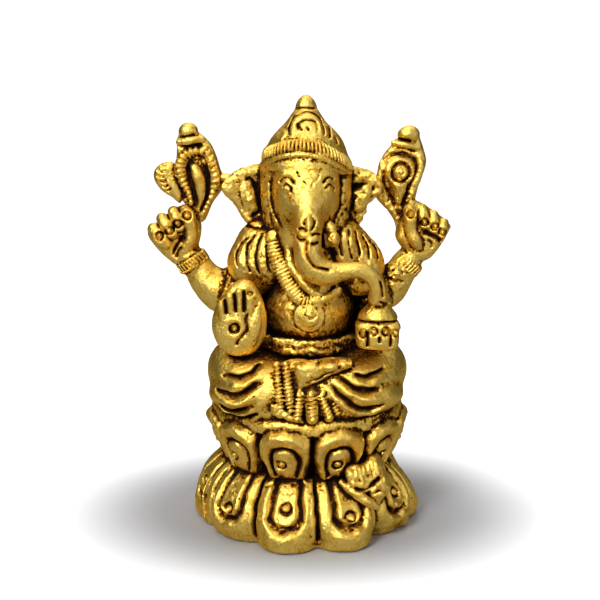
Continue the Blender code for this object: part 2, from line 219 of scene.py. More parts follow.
class Clay:
    """One casting as signed distances to its surface, negative inside."""

    fillet = 0.35

    def __init__(self, node, tarnish):
        self.node = node
        self.tarnish = tarnish
        low, high = box_mm(node)
        self.middle_y = (low[1] + high[1]) / 2
        self.first, self.last = lattice.window(low - PAD, high + PAD)
        self.x, self.y, self.z = (
            lattice.along(axis, self.first[axis], self.last[axis]) for axis in range(3)
        )
        self.d = np.full(self.last - self.first, FAR, np.float32)

    def part(self, low, high):
        """Slices of the block between two corners, and open coordinate arrays for them."""
        slices = []
        for axis, line in enumerate((self.x, self.y, self.z)):
            start = int(np.searchsorted(line, low[axis]))
            slices.append(slice(start, int(np.searchsorted(line, high[axis], side="right"))))
        sx, sy, sz = slices
        grids = (
            self.x[sx][:, None, None],
            self.y[sy][None, :, None],
            self.z[sz][None, None, :],
        )
        return tuple(slices), grids

    def merge(self, slices, distance, blend):
        self.d[slices] = soft_min(self.d[slices], distance, blend)

    def blob(self, centre, radii, turn=(0, 0, 0), blend=0.5):
        """An ellipsoid, turned by angles in degrees."""
        middle = origin + centre
        reach = max(radii) + REACH
        slices, (x, y, z) = self.part(middle - reach, middle + reach)
        x, y, z = x - middle[0], y - middle[1], z - middle[2]
        if any(turn):
            m = np.array(Euler([math.radians(angle) for angle in turn]).to_matrix().transposed())
            x, y, z = (row[0] * x + row[1] * y + row[2] * z for row in m.astype(np.float32))
        rx, ry, rz = radii
        near = np.sqrt((x / rx) ** 2 + (y / ry) ** 2 + (z / rz) ** 2)
        steep = np.sqrt((x / rx**2) ** 2 + (y / ry**2) ** 2 + (z / rz**2) ** 2)
        self.merge(slices, near * (near - 1) / np.maximum(steep, 1e-6), blend)

    def tube(self, stations, blend=0.4, closed=False, ribs=None, flat=1.0):
        """A tube through (x, y, z, radius). ribs is (pitch, depth). flat thins it along y."""
        path = curve_through(stations, 6, closed)
        path[:, :3] += origin
        if ribs:
            pitch, depth = ribs
            steps = np.linalg.norm(np.diff(path[:, :3], axis=0), axis=1)
            total = steps.sum()
            fine = np.linspace(0, total, int(total / pitch * 8) + 2)
            at = np.concatenate([[0], np.cumsum(steps)])
            path = np.stack([np.interp(fine, at, column) for column in path.T], axis=1)
            path[:, 3] -= depth * (0.5 + 0.5 * np.cos(2 * np.pi * fine / pitch)) ** 3
        reach = path[:, 3].max() + REACH
        slices, (x, y, z) = self.part(path[:, :3].min(0) - reach, path[:, :3].max(0) + reach)
        distance = np.full((x.size, y.size, z.size), FAR, np.float32)
        for start, end in zip(path, path[1:]):
            reach = max(start[3], end[3]) + REACH
            low = np.minimum(start[:3], end[:3]) - reach
            high = np.maximum(start[:3], end[:3]) + reach
            i, j, k = (
                slice(
                    int(np.searchsorted(line.ravel(), low[axis])),
                    int(np.searchsorted(line.ravel(), high[axis], side="right")),
                )
                for axis, line in enumerate((x, y, z))
            )
            dx, dy, dz = (end - start)[:3]
            gx, gy, gz = x[i] - start[0], y[:, j] - start[1], z[:, :, k] - start[2]
            length = dx * dx + dy * dy + dz * dz + 1e-9
            t = np.clip((gx * dx + gy * dy + gz * dz) / length, 0, 1)
            away = np.sqrt(
                (gx - t * dx) ** 2 + ((gy - t * dy) / flat) ** 2 + (gz - t * dz) ** 2
            )
            away -= start[3] + t * (end[3] - start[3])
            view = distance[i, j, k]
            np.minimum(view, away, out=view)
        self.merge(slices, distance * (0.5 + 0.5 * min(flat, 1.0)), blend)

    def plate(self, outline, y, thickness, edge=0.6, blend=0.4, bow=None):
        """A flat casting facing -Y from an (x, z) outline. bow(x, z) moves its middle along y."""
        path = curve_through(outline, 5, closed=True)[:-1] + origin[[0, 2]]
        low = np.array([path[:, 0].min(), origin[1] + y - thickness, path[:, 1].min()]) - REACH
        high = np.array([path[:, 0].max(), origin[1] + y + thickness, path[:, 1].max()]) + REACH
        slices, (gx, gy, gz) = self.part(low, high)
        flat = flat_inside(gx[:, 0], gz[0], path)[:, None, :] + edge
        middle = origin[1] + y
        if bow:
            middle = middle + bow(gx - origin[0], gz - origin[2])
        deep = np.abs(gy - middle) - thickness / 2 + edge
        distance = np.hypot(np.maximum(flat, 0), np.maximum(deep, 0))
        distance = distance + np.minimum(np.maximum(flat, deep), 0) - edge
        self.merge(slices, distance.astype(np.float32), blend)

    def stroke(self, points, width, depth, back=None, taper=0.0, curved=True):
        """Engraves a line drawn on the (x, z) front, or raises one where depth is negative.

        It reaches back along y as far as back, or to the middle of the piece.
        """
        path = np.array(points, float)
        if curved and len(path) > 2:
            path = curve_through(path, 5)
        path = path + origin[[0, 2]]
        spread = 2.2 * width
        back = self.middle_y if back is None else origin[1] + back
        low = np.array([path[:, 0].min() - spread, -1e3, path[:, 1].min() - spread])
        high = np.array([path[:, 0].max() + spread, back, path[:, 1].max() + spread])
        slices, (gx, gy, gz) = self.part(low, high)
        profile = engraved(gx[:, 0], gz[0], path, width, depth, taper)[:, None, :]
        fade = np.clip((back - gy) / 1.2, 0, 1)
        self.d[slices] += profile * fade

    def strokes(self, lines, width, depth, back=None, taper=0.0):
        for points in lines:
            self.stroke(points, width, depth, back, taper)

    def hatch(self, points, reach, pitch, width, depth, back=None):
        """Cuts short lines across a line drawn on the (x, z) front, one at every pitch."""
        path = curve_through(points, 8)
        lengths = np.linalg.norm(np.diff(path, axis=0), axis=1)
        at = np.concatenate([[0], np.cumsum(lengths)])
        for place in np.arange(pitch / 2, at[-1], pitch):
            behind, ahead = (
                np.array([np.interp(place + step, at, line) for line in path.T])
                for step in (-0.1, 0.1)
            )
            along = (ahead - behind) / np.linalg.norm(ahead - behind)
            across = reach * np.array([along[1], -along[0]])
            self.stroke([behind - across, ahead + across], width, depth, back, curved=False)

    def braid(self, stations, blend, reach, pitch, width, depth, back=None):
        """A tube with short cuts across its front, like a cord."""
        self.tube(stations, blend)
        self.hatch([(x, z) for x, y, z, radius in stations], reach, pitch, width, depth, back)

    def ring_mark(self, centre, radius, width, depth, dot):
        """A struck ring, with a raised dot inside it."""
        turns = np.linspace(0, 2 * np.pi, 17)
        ring = np.stack([np.cos(turns), np.sin(turns)], axis=1) * radius + np.array(centre)
        self.stroke(ring, width, depth, curved=False)
        if dot:
            self.stroke([centre, (centre[0] + 0.01, centre[1])], radius * 0.6, -dot)

    def rough(self, low, high, depth, lump, seed):
        """Makes the surface between two corners as lumpy as cast sand, fading at the sides."""
        low, high = origin + low, origin + high
        slices, grids = self.part(low, high)
        lumps = cloud([grid.size for grid in grids], lump, np.random.default_rng(seed))
        for line, start, end in zip(grids, low, high):
            lumps = lumps * np.clip(np.minimum(line - start, end - line) / 0.8, 0, 1)
        self.d[slices] += depth * lumps.astype(np.float32)

    def turned(self, profile, low, high, edge, centre=(0, 0), band=None):
        """A solid turned about z from (radius, z) rows. band holds what is cut into its side."""
        slices, (x, y, z) = self.part(-EVERYWHERE, EVERYWHERE)
        x, y, z = x - origin[0] - centre[0], y - origin[1] - centre[1], z - origin[2]
        radii, heights = curve_through(profile, 5).T
        outline = np.interp(z.ravel(), heights, radii)
        steep = 1 / np.hypot(1, np.gradient(outline, STEP))
        side = np.hypot(x, y) - outline.astype(np.float32)
        if band:
            side = side + band.at(x[:, :, 0], y[:, :, 0])
        side = side * steep.astype(np.float32)
        for flat in (low - z, z - high):
            side = -soft_min(-side, -flat, edge)
        self.merge(slices, side.astype(np.float32), 0.3)

    def hoop(self, centre, radius, height, bulge, arch=0.0, roll=0.0, slope=0.0, ribs=0, depth=0.0):
        """A band round z that drops to its sides by arch and roll. slope narrows it upwards."""
        slices, (x, y, z) = self.part(-EVERYWHERE, EVERYWHERE)
        x, y, z = x - origin[0] - centre[0], y - origin[1] - centre[1], z - origin[2] - centre[2]
        up = z + arch * x**2 + roll * x
        side = np.hypot(x, y) - radius + slope * z
        side = side - bulge * np.sqrt(np.maximum(1 - (2 * up / height) ** 2, 0))
        if ribs:
            side = side + depth * (0.5 + 0.5 * np.cos(ribs * np.arctan2(x, -y))) ** 3
        distance = -soft_min(-side, height / 2 - np.abs(up), 0.2)
        self.merge(slices, distance.astype(np.float32), 0.1)

    def keep(self):
        """Adds the finished clay to the lattice, as the next owner."""
        index = len(clays)
        clays.append(self)
        where = tuple(slice(a, b) for a, b in zip(self.first, self.last))
        nearest, second = lattice.nearest[where], lattice.second[where]
        closer = self.d < nearest
        second[...] = np.where(closer, nearest, np.minimum(second, self.d))
        lattice.owner[where][closer] = index
        nearest[...] = np.where(closer, self.d, nearest)
        lattice.skin[where] = soft_min(lattice.skin[where], self.d, self.fillet)


clays = []

PETALS = 11
PETAL_TURN = math.tau / PETALS
# The width of one column of an unrolled side.
COLUMN = 0.08


class Band:
    """Petals drawn on the unrolled side of a turned tier: s in mm round it, z in mm up."""

    def __init__(self, clay, radius, seam):
        self.radius = radius
        self.s = np.arange(-math.pi * radius, math.pi * radius, COLUMN)
        self.z = clay.z - origin[2]
        self.sunk = np.zeros((self.s.size, self.z.size), np.float32)
        self.turns = [seam + (n + 0.5) * PETAL_TURN for n in range(PETALS)]

    def line(self, turn, points, width, depth, taper=0.0, closed=False):
        """Cuts a line whose s is measured from the angle turn."""
        path = curve_through(points, 5, closed) if len(points) > 2 else np.array(points, float)
        around = 2 * math.pi * self.radius
        across = (self.s - turn * self.radius + around / 2) % around - around / 2
        low, high = path[:, 0].min() - 3 * width, path[:, 0].max() + 3 * width
        near = np.flatnonzero((across > low) & (across < high))
        self.sunk[near] += engraved(across[near][:, None], self.z[None, :], path, width, depth, taper)

    def ring(self, turn, centre, radius, depth, squash=1.0):
        """Strikes a ring with a dot in it. squash is its height over its width."""
        angles = np.arange(12) * math.tau / 12
        s, z = centre
        points = [(s + radius * math.cos(a), z + squash * radius * math.sin(a)) for a in angles]
        self.line(turn, points, 0.27, depth, closed=True)
        self.line(turn, [(s, z), (s, z + 0.05)], 0.45, -0.4 * depth)

    def at(self, x, y):
        """What is cut away at each (x, y) column and height."""
        place = (np.arctan2(y, x) + math.pi) * self.radius / COLUMN
        base = place.astype(int)
        share = (place - base).astype(np.float32)[:, :, None]
        count = self.s.size
        return self.sunk[base % count] * (1 - share) + self.sunk[(base + 1) % count] * share


# From the lattice to meshes.

CORNERS = [(i, j, k) for i in (0, 1) for j in (0, 1) for k in (0, 1)]
EDGES = [
    (a, b)
    for a in range(8)
    for b in range(a + 1, 8)
    if sum(abs(p - q) for p, q in zip(CORNERS[a], CORNERS[b])) == 1
]


def sample(field, points):
    """The field at fractional lattice indices, by linear interpolation."""
    points = np.clip(points, 0, np.array(field.shape) - 1.001)
    base = points.astype(np.int32)
    share = (points - base).astype(np.float32)
    total = np.zeros(len(points), np.float32)
    for i, j, k in CORNERS:
        weight = (
            (share[:, 0] if i else 1 - share[:, 0])
            * (share[:, 1] if j else 1 - share[:, 1])
            * (share[:, 2] if k else 1 - share[:, 2])
        )
        total += weight * field[base[:, 0] + i, base[:, 1] + j, base[:, 2] + k]
    return total


def onto_surface(field, points):
    """Moves points along the field's slope until the field is zero there."""
    for _ in range(2):
        slope = np.stack(
            [
                sample(field, points + half) - sample(field, points - half)
                for half in np.eye(3) * 0.5
            ],
            axis=1,
        )
        steep = np.maximum((slope**2).sum(axis=1), 0.3 * STEP**2)
        step = sample(field, points)[:, None] * slope / steep[:, None]
        points = points - np.clip(step, -0.4, 0.4)
    return points


def surface_net(field):
    """Vertices (in lattice steps) and quads of the closed surface where the field is zero."""
    solid = field < 0
    cells = tuple(n - 1 for n in field.shape)
    count = np.zeros(cells, np.uint8)
    for i, j, k in CORNERS:
        count += solid[i : i + cells[0], j : j + cells[1], k : k + cells[2]]
    active = (count > 0) & (count < 8)
    at = np.argwhere(active)
    values = np.stack(
        [field[at[:, 0] + i, at[:, 1] + j, at[:, 2] + k] for i, j, k in CORNERS], axis=1
    )
    total = np.zeros((len(at), 3))
    crossings = np.zeros(len(at))
    for a, b in EDGES:
        start, end = values[:, a], values[:, b]
        crosses = (start < 0) != (end < 0)
        share = np.where(crosses, start / np.where(crosses, start - end, 1), 0)
        corner, other = np.array(CORNERS[a]), np.array(CORNERS[b])
        total += np.where(crosses[:, None], corner + share[:, None] * (other - corner), 0)
        crossings += crosses
    points = at + total / crossings[:, None]
    number = np.full(cells, -1, np.int32)
    number[active] = np.arange(len(at))
    quads = []
    for axis in range(3):
        one, two = (axis + 1) % 3, (axis + 2) % 3
        low = [slice(1, -1)] * 3
        low[axis] = slice(0, -1)
        high = list(low)
        high[axis] = slice(1, None)
        leaves = solid[tuple(low)] & ~solid[tuple(high)]
        enters = ~solid[tuple(low)] & solid[tuple(high)]
        for crosses, order in ((leaves, (0, 1, 2, 3)), (enters, (3, 2, 1, 0))):
            found = np.argwhere(crosses)
            found[:, one] += 1
            found[:, two] += 1
            ring = []
            for back_one, back_two in ((1, 1), (0, 1), (0, 0), (1, 0)):
                cell = found.copy()
                cell[:, one] -= back_one
                cell[:, two] -= back_two
                ring.append(number[cell[:, 0], cell[:, 1], cell[:, 2]])
            quads.append(np.stack([ring[i] for i in order], axis=1))
    return points, np.vstack(quads)


def largest_shell(points, quads):
    """Keeps only the connected surface with the most vertices."""
    label = np.arange(len(points))
    while True:
        lowest = label[quads].min(axis=1)
        new = label.copy()
        for corner in range(4):
            np.minimum.at(new, quads[:, corner], lowest)
        new = new[new]
        if (new == label).all():
            break
        label = new
    names, sizes = np.unique(label, return_counts=True)
    kept = label == names[sizes.argmax()]
    renumber = np.cumsum(kept) - 1
    return points[kept], renumber[quads[kept[quads[:, 0]]]]


def blurred(field, sigma):
    """The field smoothed by a Gaussian whose sigma is in lattice steps."""
    reach = max(1, int(round(2.5 * sigma)))
    weights = np.exp(-0.5 * (np.arange(-reach, reach + 1) / sigma) ** 2)
    weights /= weights.sum()
    for axis in range(3):
        size = field.shape[axis]
        total = np.zeros_like(field)
        for offset, weight in zip(range(-reach, reach + 1), weights.astype(np.float32)):
            source = [slice(None)] * 3
            target = [slice(None)] * 3
            source[axis] = slice(max(0, offset), size + min(0, offset))
            target[axis] = slice(max(0, -offset), size + min(0, -offset))
            total[tuple(target)] += weight * field[tuple(source)]
        field = total
    return field


def cloud(count, spacing, rng):
    """Soft noise from -1 to 1 on the lattice, with lumps about one spacing (mm) wide."""
    coarse_count = np.ceil(np.array(count) * STEP / spacing).astype(int) + 2
    noise = rng.uniform(-1, 1, coarse_count).astype(np.float32)
    for axis in range(3):
        at = np.arange(count[axis]) * STEP / spacing
        base = at.astype(int)
        share = at - base
        share = (share * share * (3 - 2 * share)).astype(np.float32)
        shape = [1, 1, 1]
        shape[axis] = -1
        share = share.reshape(shape)
        noise = np.take(noise, base, axis) * (1 - share) + np.take(noise, base + 1, axis) * share
    return noise


# How far past its border a piece runs on under its neighbours, and how steeply it sinks there.
OVERLAP = 0.45
DIVE = 0.5
# Depth and lump size of the roughness that the sand leaves on the whole casting.
CASTING_SKIN = ((0.035, 1.7), (0.022, 0.7))


def own_field(index, clay):
    """The skin near one casting. Past its border it dives under its neighbours and ends."""
    where = tuple(slice(a, b) for a, b in zip(clay.first, clay.last))
    other = np.where(
        lattice.owner[where] == index, lattice.second[where], lattice.nearest[where]
    )
    past = clay.d - other
    field = np.maximum(lattice.skin[where] + DIVE * np.maximum(past, 0), past - OVERLAP)
    for axis in range(3):
        for edge in (0, -1):
            border = [slice(None)] * 3
            border[axis] = edge
            field[tuple(border)] = np.maximum(field[tuple(border)], STEP)
    return field


def make_mesh(name, points, quads):
    mesh = bpy.data.meshes.new(name)
    mesh.vertices.add(len(points))
    mesh.vertices.foreach_set("co", (points * MM).astype(np.float32).ravel())
    mesh.loops.add(quads.size)
    mesh.loops.foreach_set("vertex_index", quads.astype(np.int32).ravel())
    mesh.polygons.add(len(quads))
    mesh.polygons.foreach_set("loop_start", np.arange(0, quads.size, 4, dtype=np.int32))
    mesh.update(calc_edges=True)
    mesh.validate()
    mesh.shade_smooth()
    return mesh


def add_attribute(mesh, name, values):
    attribute = mesh.attributes.new(name, "FLOAT", "POINT")
    attribute.data.foreach_set("value", values.astype(np.float32))


def cast_all(material_of):
    """Turns the finished clay into one mesh for each casting, with the attributes for its patina and painted
    shade.
    """
    rng = np.random.default_rng(SEED)
    for depth, lump in CASTING_SKIN:
        lattice.skin += depth * cloud(lattice.count, lump, rng)
    # How much metal lies round each point, over a wider and wider reach.
    metal = np.clip(0.5 - lattice.skin / STEP, 0, 1)
    fine = blurred(metal, 0.42 / STEP)
    middle = blurred(fine[::2, ::2, ::2], 0.45 / STEP)
    broad = blurred(middle, 1.1 / STEP)
    wide = blurred(broad[::2, ::2, ::2], 1.0 / STEP)
    # The coarser reaches say how closed in a point is among the parts, like ambient occlusion, and the brass
    # turns them into painted shade.
    measures = (
        ("fine_recess", fine, 1),
        ("middle_recess", middle, 2),
        ("broad_recess", broad, 2),
        ("wide_recess", wide, 4),
    )
    for index, clay in enumerate(clays):
        own = own_field(index, clay)
        points, quads = surface_net(own)
        points = onto_surface(own, points)
        points, quads = largest_shell(points, quads)
        at = points + clay.first
        mesh = make_mesh(clay.node + "_cast", lattice.low + at * STEP, quads)
        for name, field, coarser in measures:
            add_attribute(mesh, name, sample(field, at / coarser))
        add_attribute(mesh, "tarnish", np.full(len(at), clay.tarnish))
        piece = bpy.data.objects.new(mesh.name, mesh)
        bpy.context.scene.collection.objects.link(piece)
        mesh.materials.append(material_of(clay.node))
        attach(piece, "root")
        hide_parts(clay.node)


# Pieces that come in pairs: side is 1 on the viewer's right and -1 on the left.


def on_side(side, rows):
    """Rows that start with x, kept on the viewer's right (side 1) or mirrored to the left (-1)."""
    return [(side * x, *rest) for x, *rest in rows]


def beside(side, near, far, y, z):
    """Two corners of a box that lies from near to far of the middle, on one side of it."""
    low_x, high_x = sorted((side * near, side * far))
    return (low_x, y[0], z[0]), (high_x, y[1], z[1])


# The lotus base.

# The angle of the gap between two petals that lies nearest the front, on each tier.
SKIRT_SEAM = math.radians(-84.3)
SEAT_SEAM = math.radians(-86.8)


def facing(turn):
    """1 for a petal at the front of the base, falling to 0.3 at its worn back."""
    return 0.3 + 0.7 * smooth_step(-math.sin(turn), -0.2, 0.4)


def lotus_skirt(clay):
    band = Band(clay, 20.0, SKIRT_SEAM)
    half_turn = np.linspace(0, math.pi, 9)
    bowl = [(-2.75 * math.cos(a), 6.1 - 2.15 * math.sin(a)) for a in half_turn]
    cup = [(-2.5, 11.8), *bowl, (2.5, 11.8)]
    for number, turn in enumerate(band.turns):
        deep = facing(turn)
        lift = 0.7 * deep + 0.9 * smooth_step(-math.sin(turn), 0.7, 0.95)
        band.line(turn, [(5.7, -1), (5.7, 12)], 1.5, 0.7)
        band.line(turn, [(5.7, -1), (5.7, 1.5)], 2.0, 0.8)
        band.line(turn, [(0, -1.5), (0, 1.8)], 4.0, -lift)
        band.line(turn, [(5.75, 1.2), (5.6, 6), (5.6, 12)], 0.34, 1.3 * deep, taper=0.1)
        band.line(turn, [(5.05, 1.0), (5.0, 6), (5.0, 12)], 0.4, -0.2 * deep, taper=0.1)
        band.line(turn, [(0, 6.4), (0, 12)], 2.0, 0.3 * deep)
        band.line(turn, cup, 0.62, 1.35 * deep)
        drop = -1.6 if number % 3 == 0 else 0.0
        band.ring(turn, (0.1, 7.15 + drop), 0.95, 0.8 * deep, squash=0.8)
        band.line(turn, [(-1.2, 5.6), (-1.1, 5.5)], 0.25, 0.3 * deep)
    band.line(0.12, [(0, 10.9), (0, 8.2)], 6.0, 2.4)
    band.line(-0.2, [(0, 6.2), (0, 4.2)], 3.0, -0.5)
    band.line(-0.72, [(-2.5, 0.3), (2.5, 0.3)], 2.4, 1.7)
    band.line(-2.3, [(-2.5, 0.0), (2.5, 0.0)], 2.2, 1.0)
    band.line(math.pi + 0.2, [(0, 9.5), (0, 8.5)], 3.5, -0.4)
    band.line(math.pi + 0.3, [(0, 1.0), (0, 4.5)], 3.6, 1.2)
    profile = [
        (19.8, -1.0), (20.3, 0.3), (20.55, 2.2), (20.4, 3.8), (19.95, 5.9), (19.0, 7.9), (17.5, 9.6),
        (15.5, 11.2), (15.2, 12),
    ]
    clay.turned(profile, 0.0, 11.3, edge=0.7, band=band)
    for turn, lean in ((-2.62, 0.12), (-2.86, 0.16), (-0.36, -0.1)):
        flash = []
        for r, z, up in ((20.1, 1.5, 1.0), (19.6, 6.4, 0.6), (15.4, 11.0, 0.0)):
            angle = turn + lean * up
            flash.append((r * math.cos(angle), r * math.sin(angle), z, 0.16))
        clay.tube(flash, blend=0.3)
    clay.rough((-9, -22, 8.5), (4.5, -14, 12), 0.14, 0.6, seed=3)
    clay.rough((-20, -22, 0), (20, -8, 12), 0.05, 0.9, seed=4)


def lotus_seat(clay):
    band = Band(clay, 17.5, SEAT_SEAM)
    hood = [(-2.7, 12.0), (-3.6, 14.2), (-3.9, 16.2), (-2.9, 18.3), (0, 19.3)]
    hood += [(-s, z) for s, z in reversed(hood[:-1])]
    inner = [(0.68 * s, 0.8 * z + 1.9) for s, z in hood]
    for turn in band.turns:
        deep = facing(turn)
        band.line(turn, [(0, 12.8), (0, 16.6)], 4.2, -1.3)
        band.line(turn, [(1.28 * s, z + 1.3) for s, z in hood[1:-1]], 0.4, 0.4 * deep, taper=0.1)
        band.line(turn, hood, 1.2, -0.95 * deep)
        band.line(turn, inner, 0.42, 1.0 * deep, taper=0.03)
        band.line(turn, [(-0.3, 12.8), (-0.2, 15.0)], 1.8, -0.6 * deep)
        band.ring(turn, (-0.5, 14.2), 0.75, 0.6 * deep)
        band.line(turn, [(5.0, 10.0), (5.0, 13.2)], 1.1, 1.6 * deep)
        band.line(turn, [(5.0, 11), (5.0, 15.5), (5.0, 18.8)], 0.42, 1.9 * deep)
        band.line(turn, [(5.0, 17.6), (5.5, 18.4), (6.1, 19.2)], 0.35, 0.8 * deep, taper=0.1)
    band.line(-2.95, [(0, 10.5), (0, 13.0)], 5.0, 0.8)
    profile = [
        (14.5, 10.8), (14.5, 11.6), (15.3, 13.7), (16.2, 15.9), (16.8, 17.8), (17.1, 19.5), (17.0, 21.0),
        (16.6, 22.2),
    ]
    clay.turned(profile, 10.9, 22.1, edge=0.8, centre=(0.15, 0), band=band)
    clay.rough((-18, -20, 11), (18, -6, 23), 0.05, 0.9, seed=6)


def mouse(clay):
    body = [
        (6.9, 13.4), (9.4, 13.8), (11.0, 14.9), (12.3, 14.9), (13.4, 13.2), (13.7, 11.4), (12.0, 10.6),
        (10.6, 9.3), (8.6, 9.5), (7.2, 10.6),
    ]
    clay.plate(body, -14.6, 4.6, edge=1.6, bow=lambda x, z: 0.3 * (x - 9) + 0.35 * (z - 12))
    head = [(11.0, 9.8), (12.2, 11.2), (13.7, 11.4), (14.5, 9.5), (13.3, 7.6), (12.0, 6.5), (11.0, 8.0)]
    clay.plate(head, -15.0, 3.6, edge=1.1, blend=0.15, bow=lambda x, z: 0.3 * (x - 11))
    paw = [
        (6.0, -15.8, 10.9, 0.55), (7.7, -16.7, 9.7, 0.75), (10.0, -17.3, 8.3, 0.85),
        (12.0, -17.0, 6.9, 0.6),
    ]
    clay.tube(paw, 0.15)
    clay.stroke([(8.0, 10.5), (10.3, 9.9), (11.3, 10.9), (12.8, 11.8)], 0.26, 0.55, taper=0.1)
    clay.stroke([(11.4, 9.0), (12.6, 9.4), (13.8, 8.8)], 0.2, 0.35, taper=0.1)
    for row in range(4):
        for column in range(7):
            x = 8.0 + 0.72 * column + 0.2 * row
            z = 13.3 - 0.85 * row + 0.16 * column
            clay.stroke([(x, z), (x + 0.28, z - 0.6)], 0.14, 0.13, back=-13, curved=False)
    clay.rough((5, -19, 6), (16, -12, 15), 0.22, 0.9, seed=9)


# The body.


def torso(clay):
    clay.blob((0.6, -1.5, 38.4), (8.0, 9.4, 7.2))
    clay.blob((0.3, -0.3, 46.2), (8.3, 6.6, 8.0), blend=1.5)
    clay.blob((0.2, 1.2, 29.0), (8.6, 9.4, 6.5), blend=1.0)
    clay.blob((0.3, 3.0, 42.0), (9.5, 6.6, 12.0), blend=2.0)
    clay.blob((0.0, 0.8, 52.0), (8.6, 4.6, 4.6), blend=1.5)
    clay.rough((-8, -12, 31), (9, -4, 45), 0.1, 0.7, seed=5)
    clay.stroke([(2.9, 41.8), (4.1, 42.5), (5.2, 43.5)], 0.4, 0.7, taper=0.2)


def belt(clay):
    clay.hoop((0.2, 0.2, 33.75), 10.35, 1.3, 0.18)
    clay.hoop((0.2, 0.2, 32.5), 10.4, 1.2, 0.2)
    clay.hoop((0.2, 0.2, 33.1), 10.3, 2.8, 0.2)
    clay.rough((-12, -13, 31), (-1.5, 13, 35.4), 0.25, 0.9, seed=8)
    clay.rough((-3, -13, 31), (12, 13, 35.4), 0.25, 0.6, seed=18)


def leg(clay, side):
    knee_x = 12.9 if side > 0 else 12.4
    thigh = [(5.0, 4.0, 28.0, 5.0), (10.0, 0.5, 28.0, 5.2), (knee_x, -4.5, 28.4, 5.0)]
    shin = [(11.2, -9.0, 27.0, 4.4), (7.0, -11.2, 26.4, 4.3), (3.2, -11.6, 26.2, 3.8)]
    clay.tube(on_side(side, thigh + shin))
    clay.blob((side * 8.5, -3.5, 27.2), (8.3, 10.6, 5.2), blend=1.5)
    clay.blob((side * 9.0, -8.6, 25.0), (8.0, 7.6, 3.6), blend=1.0)
    hem = [(2.5, -14.6, 23.4, 1.5), (7.5, -13.6, 23.0, 1.8), (12.5, -9.5, 23.0, 1.9), (15.0, -4.0, 23.4, 1.8)]
    clay.tube(on_side(side, hem), blend=1.0)
    if side < 0:
        folds = [
            ([(-14.9, 28.8), (-11.8, 28.8), (-9.4, 29.6), (-7.1, 31.1)], 0.42),
            ([(-15.8, 26.5), (-13.5, 25.9), (-11.2, 26.2), (-6.4, 29.3)], 0.52),
            ([(-15.8, 24.2), (-13.8, 23.1), (-11.5, 23.2), (-7.4, 25.6)], 0.55),
            ([(-14.6, 21.6), (-11.0, 21.7), (-7.7, 23.2)], 0.36),
        ]
    else:
        folds = [
            ([(7.7, 29.6), (10.2, 29.0), (14.1, 30.1)], 0.33),
            ([(5.0, 29.4), (7.6, 27.7), (10.1, 26.9), (12.9, 27.0)], 0.5),
            ([(3.4, 28.9), (5.6, 26.4), (8.7, 24.2), (11.5, 24.0), (14.2, 25.1)], 0.55),
            ([(7.5, 22.0), (11.0, 21.9), (14.0, 22.3)], 0.3),
        ]
    for points, width in folds:
        clay.stroke(points, width, 1.1, back=-1.0, taper=0.25)
        ridge = [(x, z - 1.15) for x, z in points]
        clay.stroke(ridge, 0.7, -0.5, back=-1.0, taper=0.3)


def right_foot(clay):
    sole = [
        (-1.9, 31.2), (-0.5, 31.6), (1.5, 31.9), (3.2, 32.3), (5.1, 32.3), (7.6, 32.1), (8.2, 31.2),
        (6.3, 30.2), (4.6, 29.6), (1.8, 28.4), (-1.1, 26.9), (-1.7, 28.4),
    ]
    clay.plate(sole, -14.0, 3.2, edge=1.1, blend=0.2, bow=lambda x, z: 0.12 * (x - 1) - 0.05 * (z - 30))
    clay.blob((0.9, -14.3, 29.9), (2.6, 1.5, 1.8), (0, -18, 0), blend=0.8)
    clay.blob((3.9, -15.0, 31.1), (1.7, 1.2, 1.0), (0, -12, 0), blend=0.2)
    clay.blob((6.4, -14.2, 31.2), (0.9, 1.0, 0.8), blend=0.2)
    clay.blob((7.8, -13.6, 31.3), (0.7, 0.9, 0.7), blend=0.2)
    clay.stroke([(1.7, 31.2), (2.6, 32.0), (4.0, 32.4), (5.3, 31.9)], 0.32, 0.8, taper=0.15)
    clay.stroke([(5.5, 32.3), (5.5, 30.8)], 0.2, 0.5, curved=False)
    clay.stroke([(7.1, 32.2), (7.1, 31.0)], 0.2, 0.4, curved=False)
    clay.stroke([(-0.6, 28.2), (1.4, 28.9), (3.5, 29.9), (5.0, 30.6)], 0.26, 0.4, taper=0.2)
    clay.rough((-3, -17, 26), (9, -11, 33), 0.08, 0.8, seed=10)


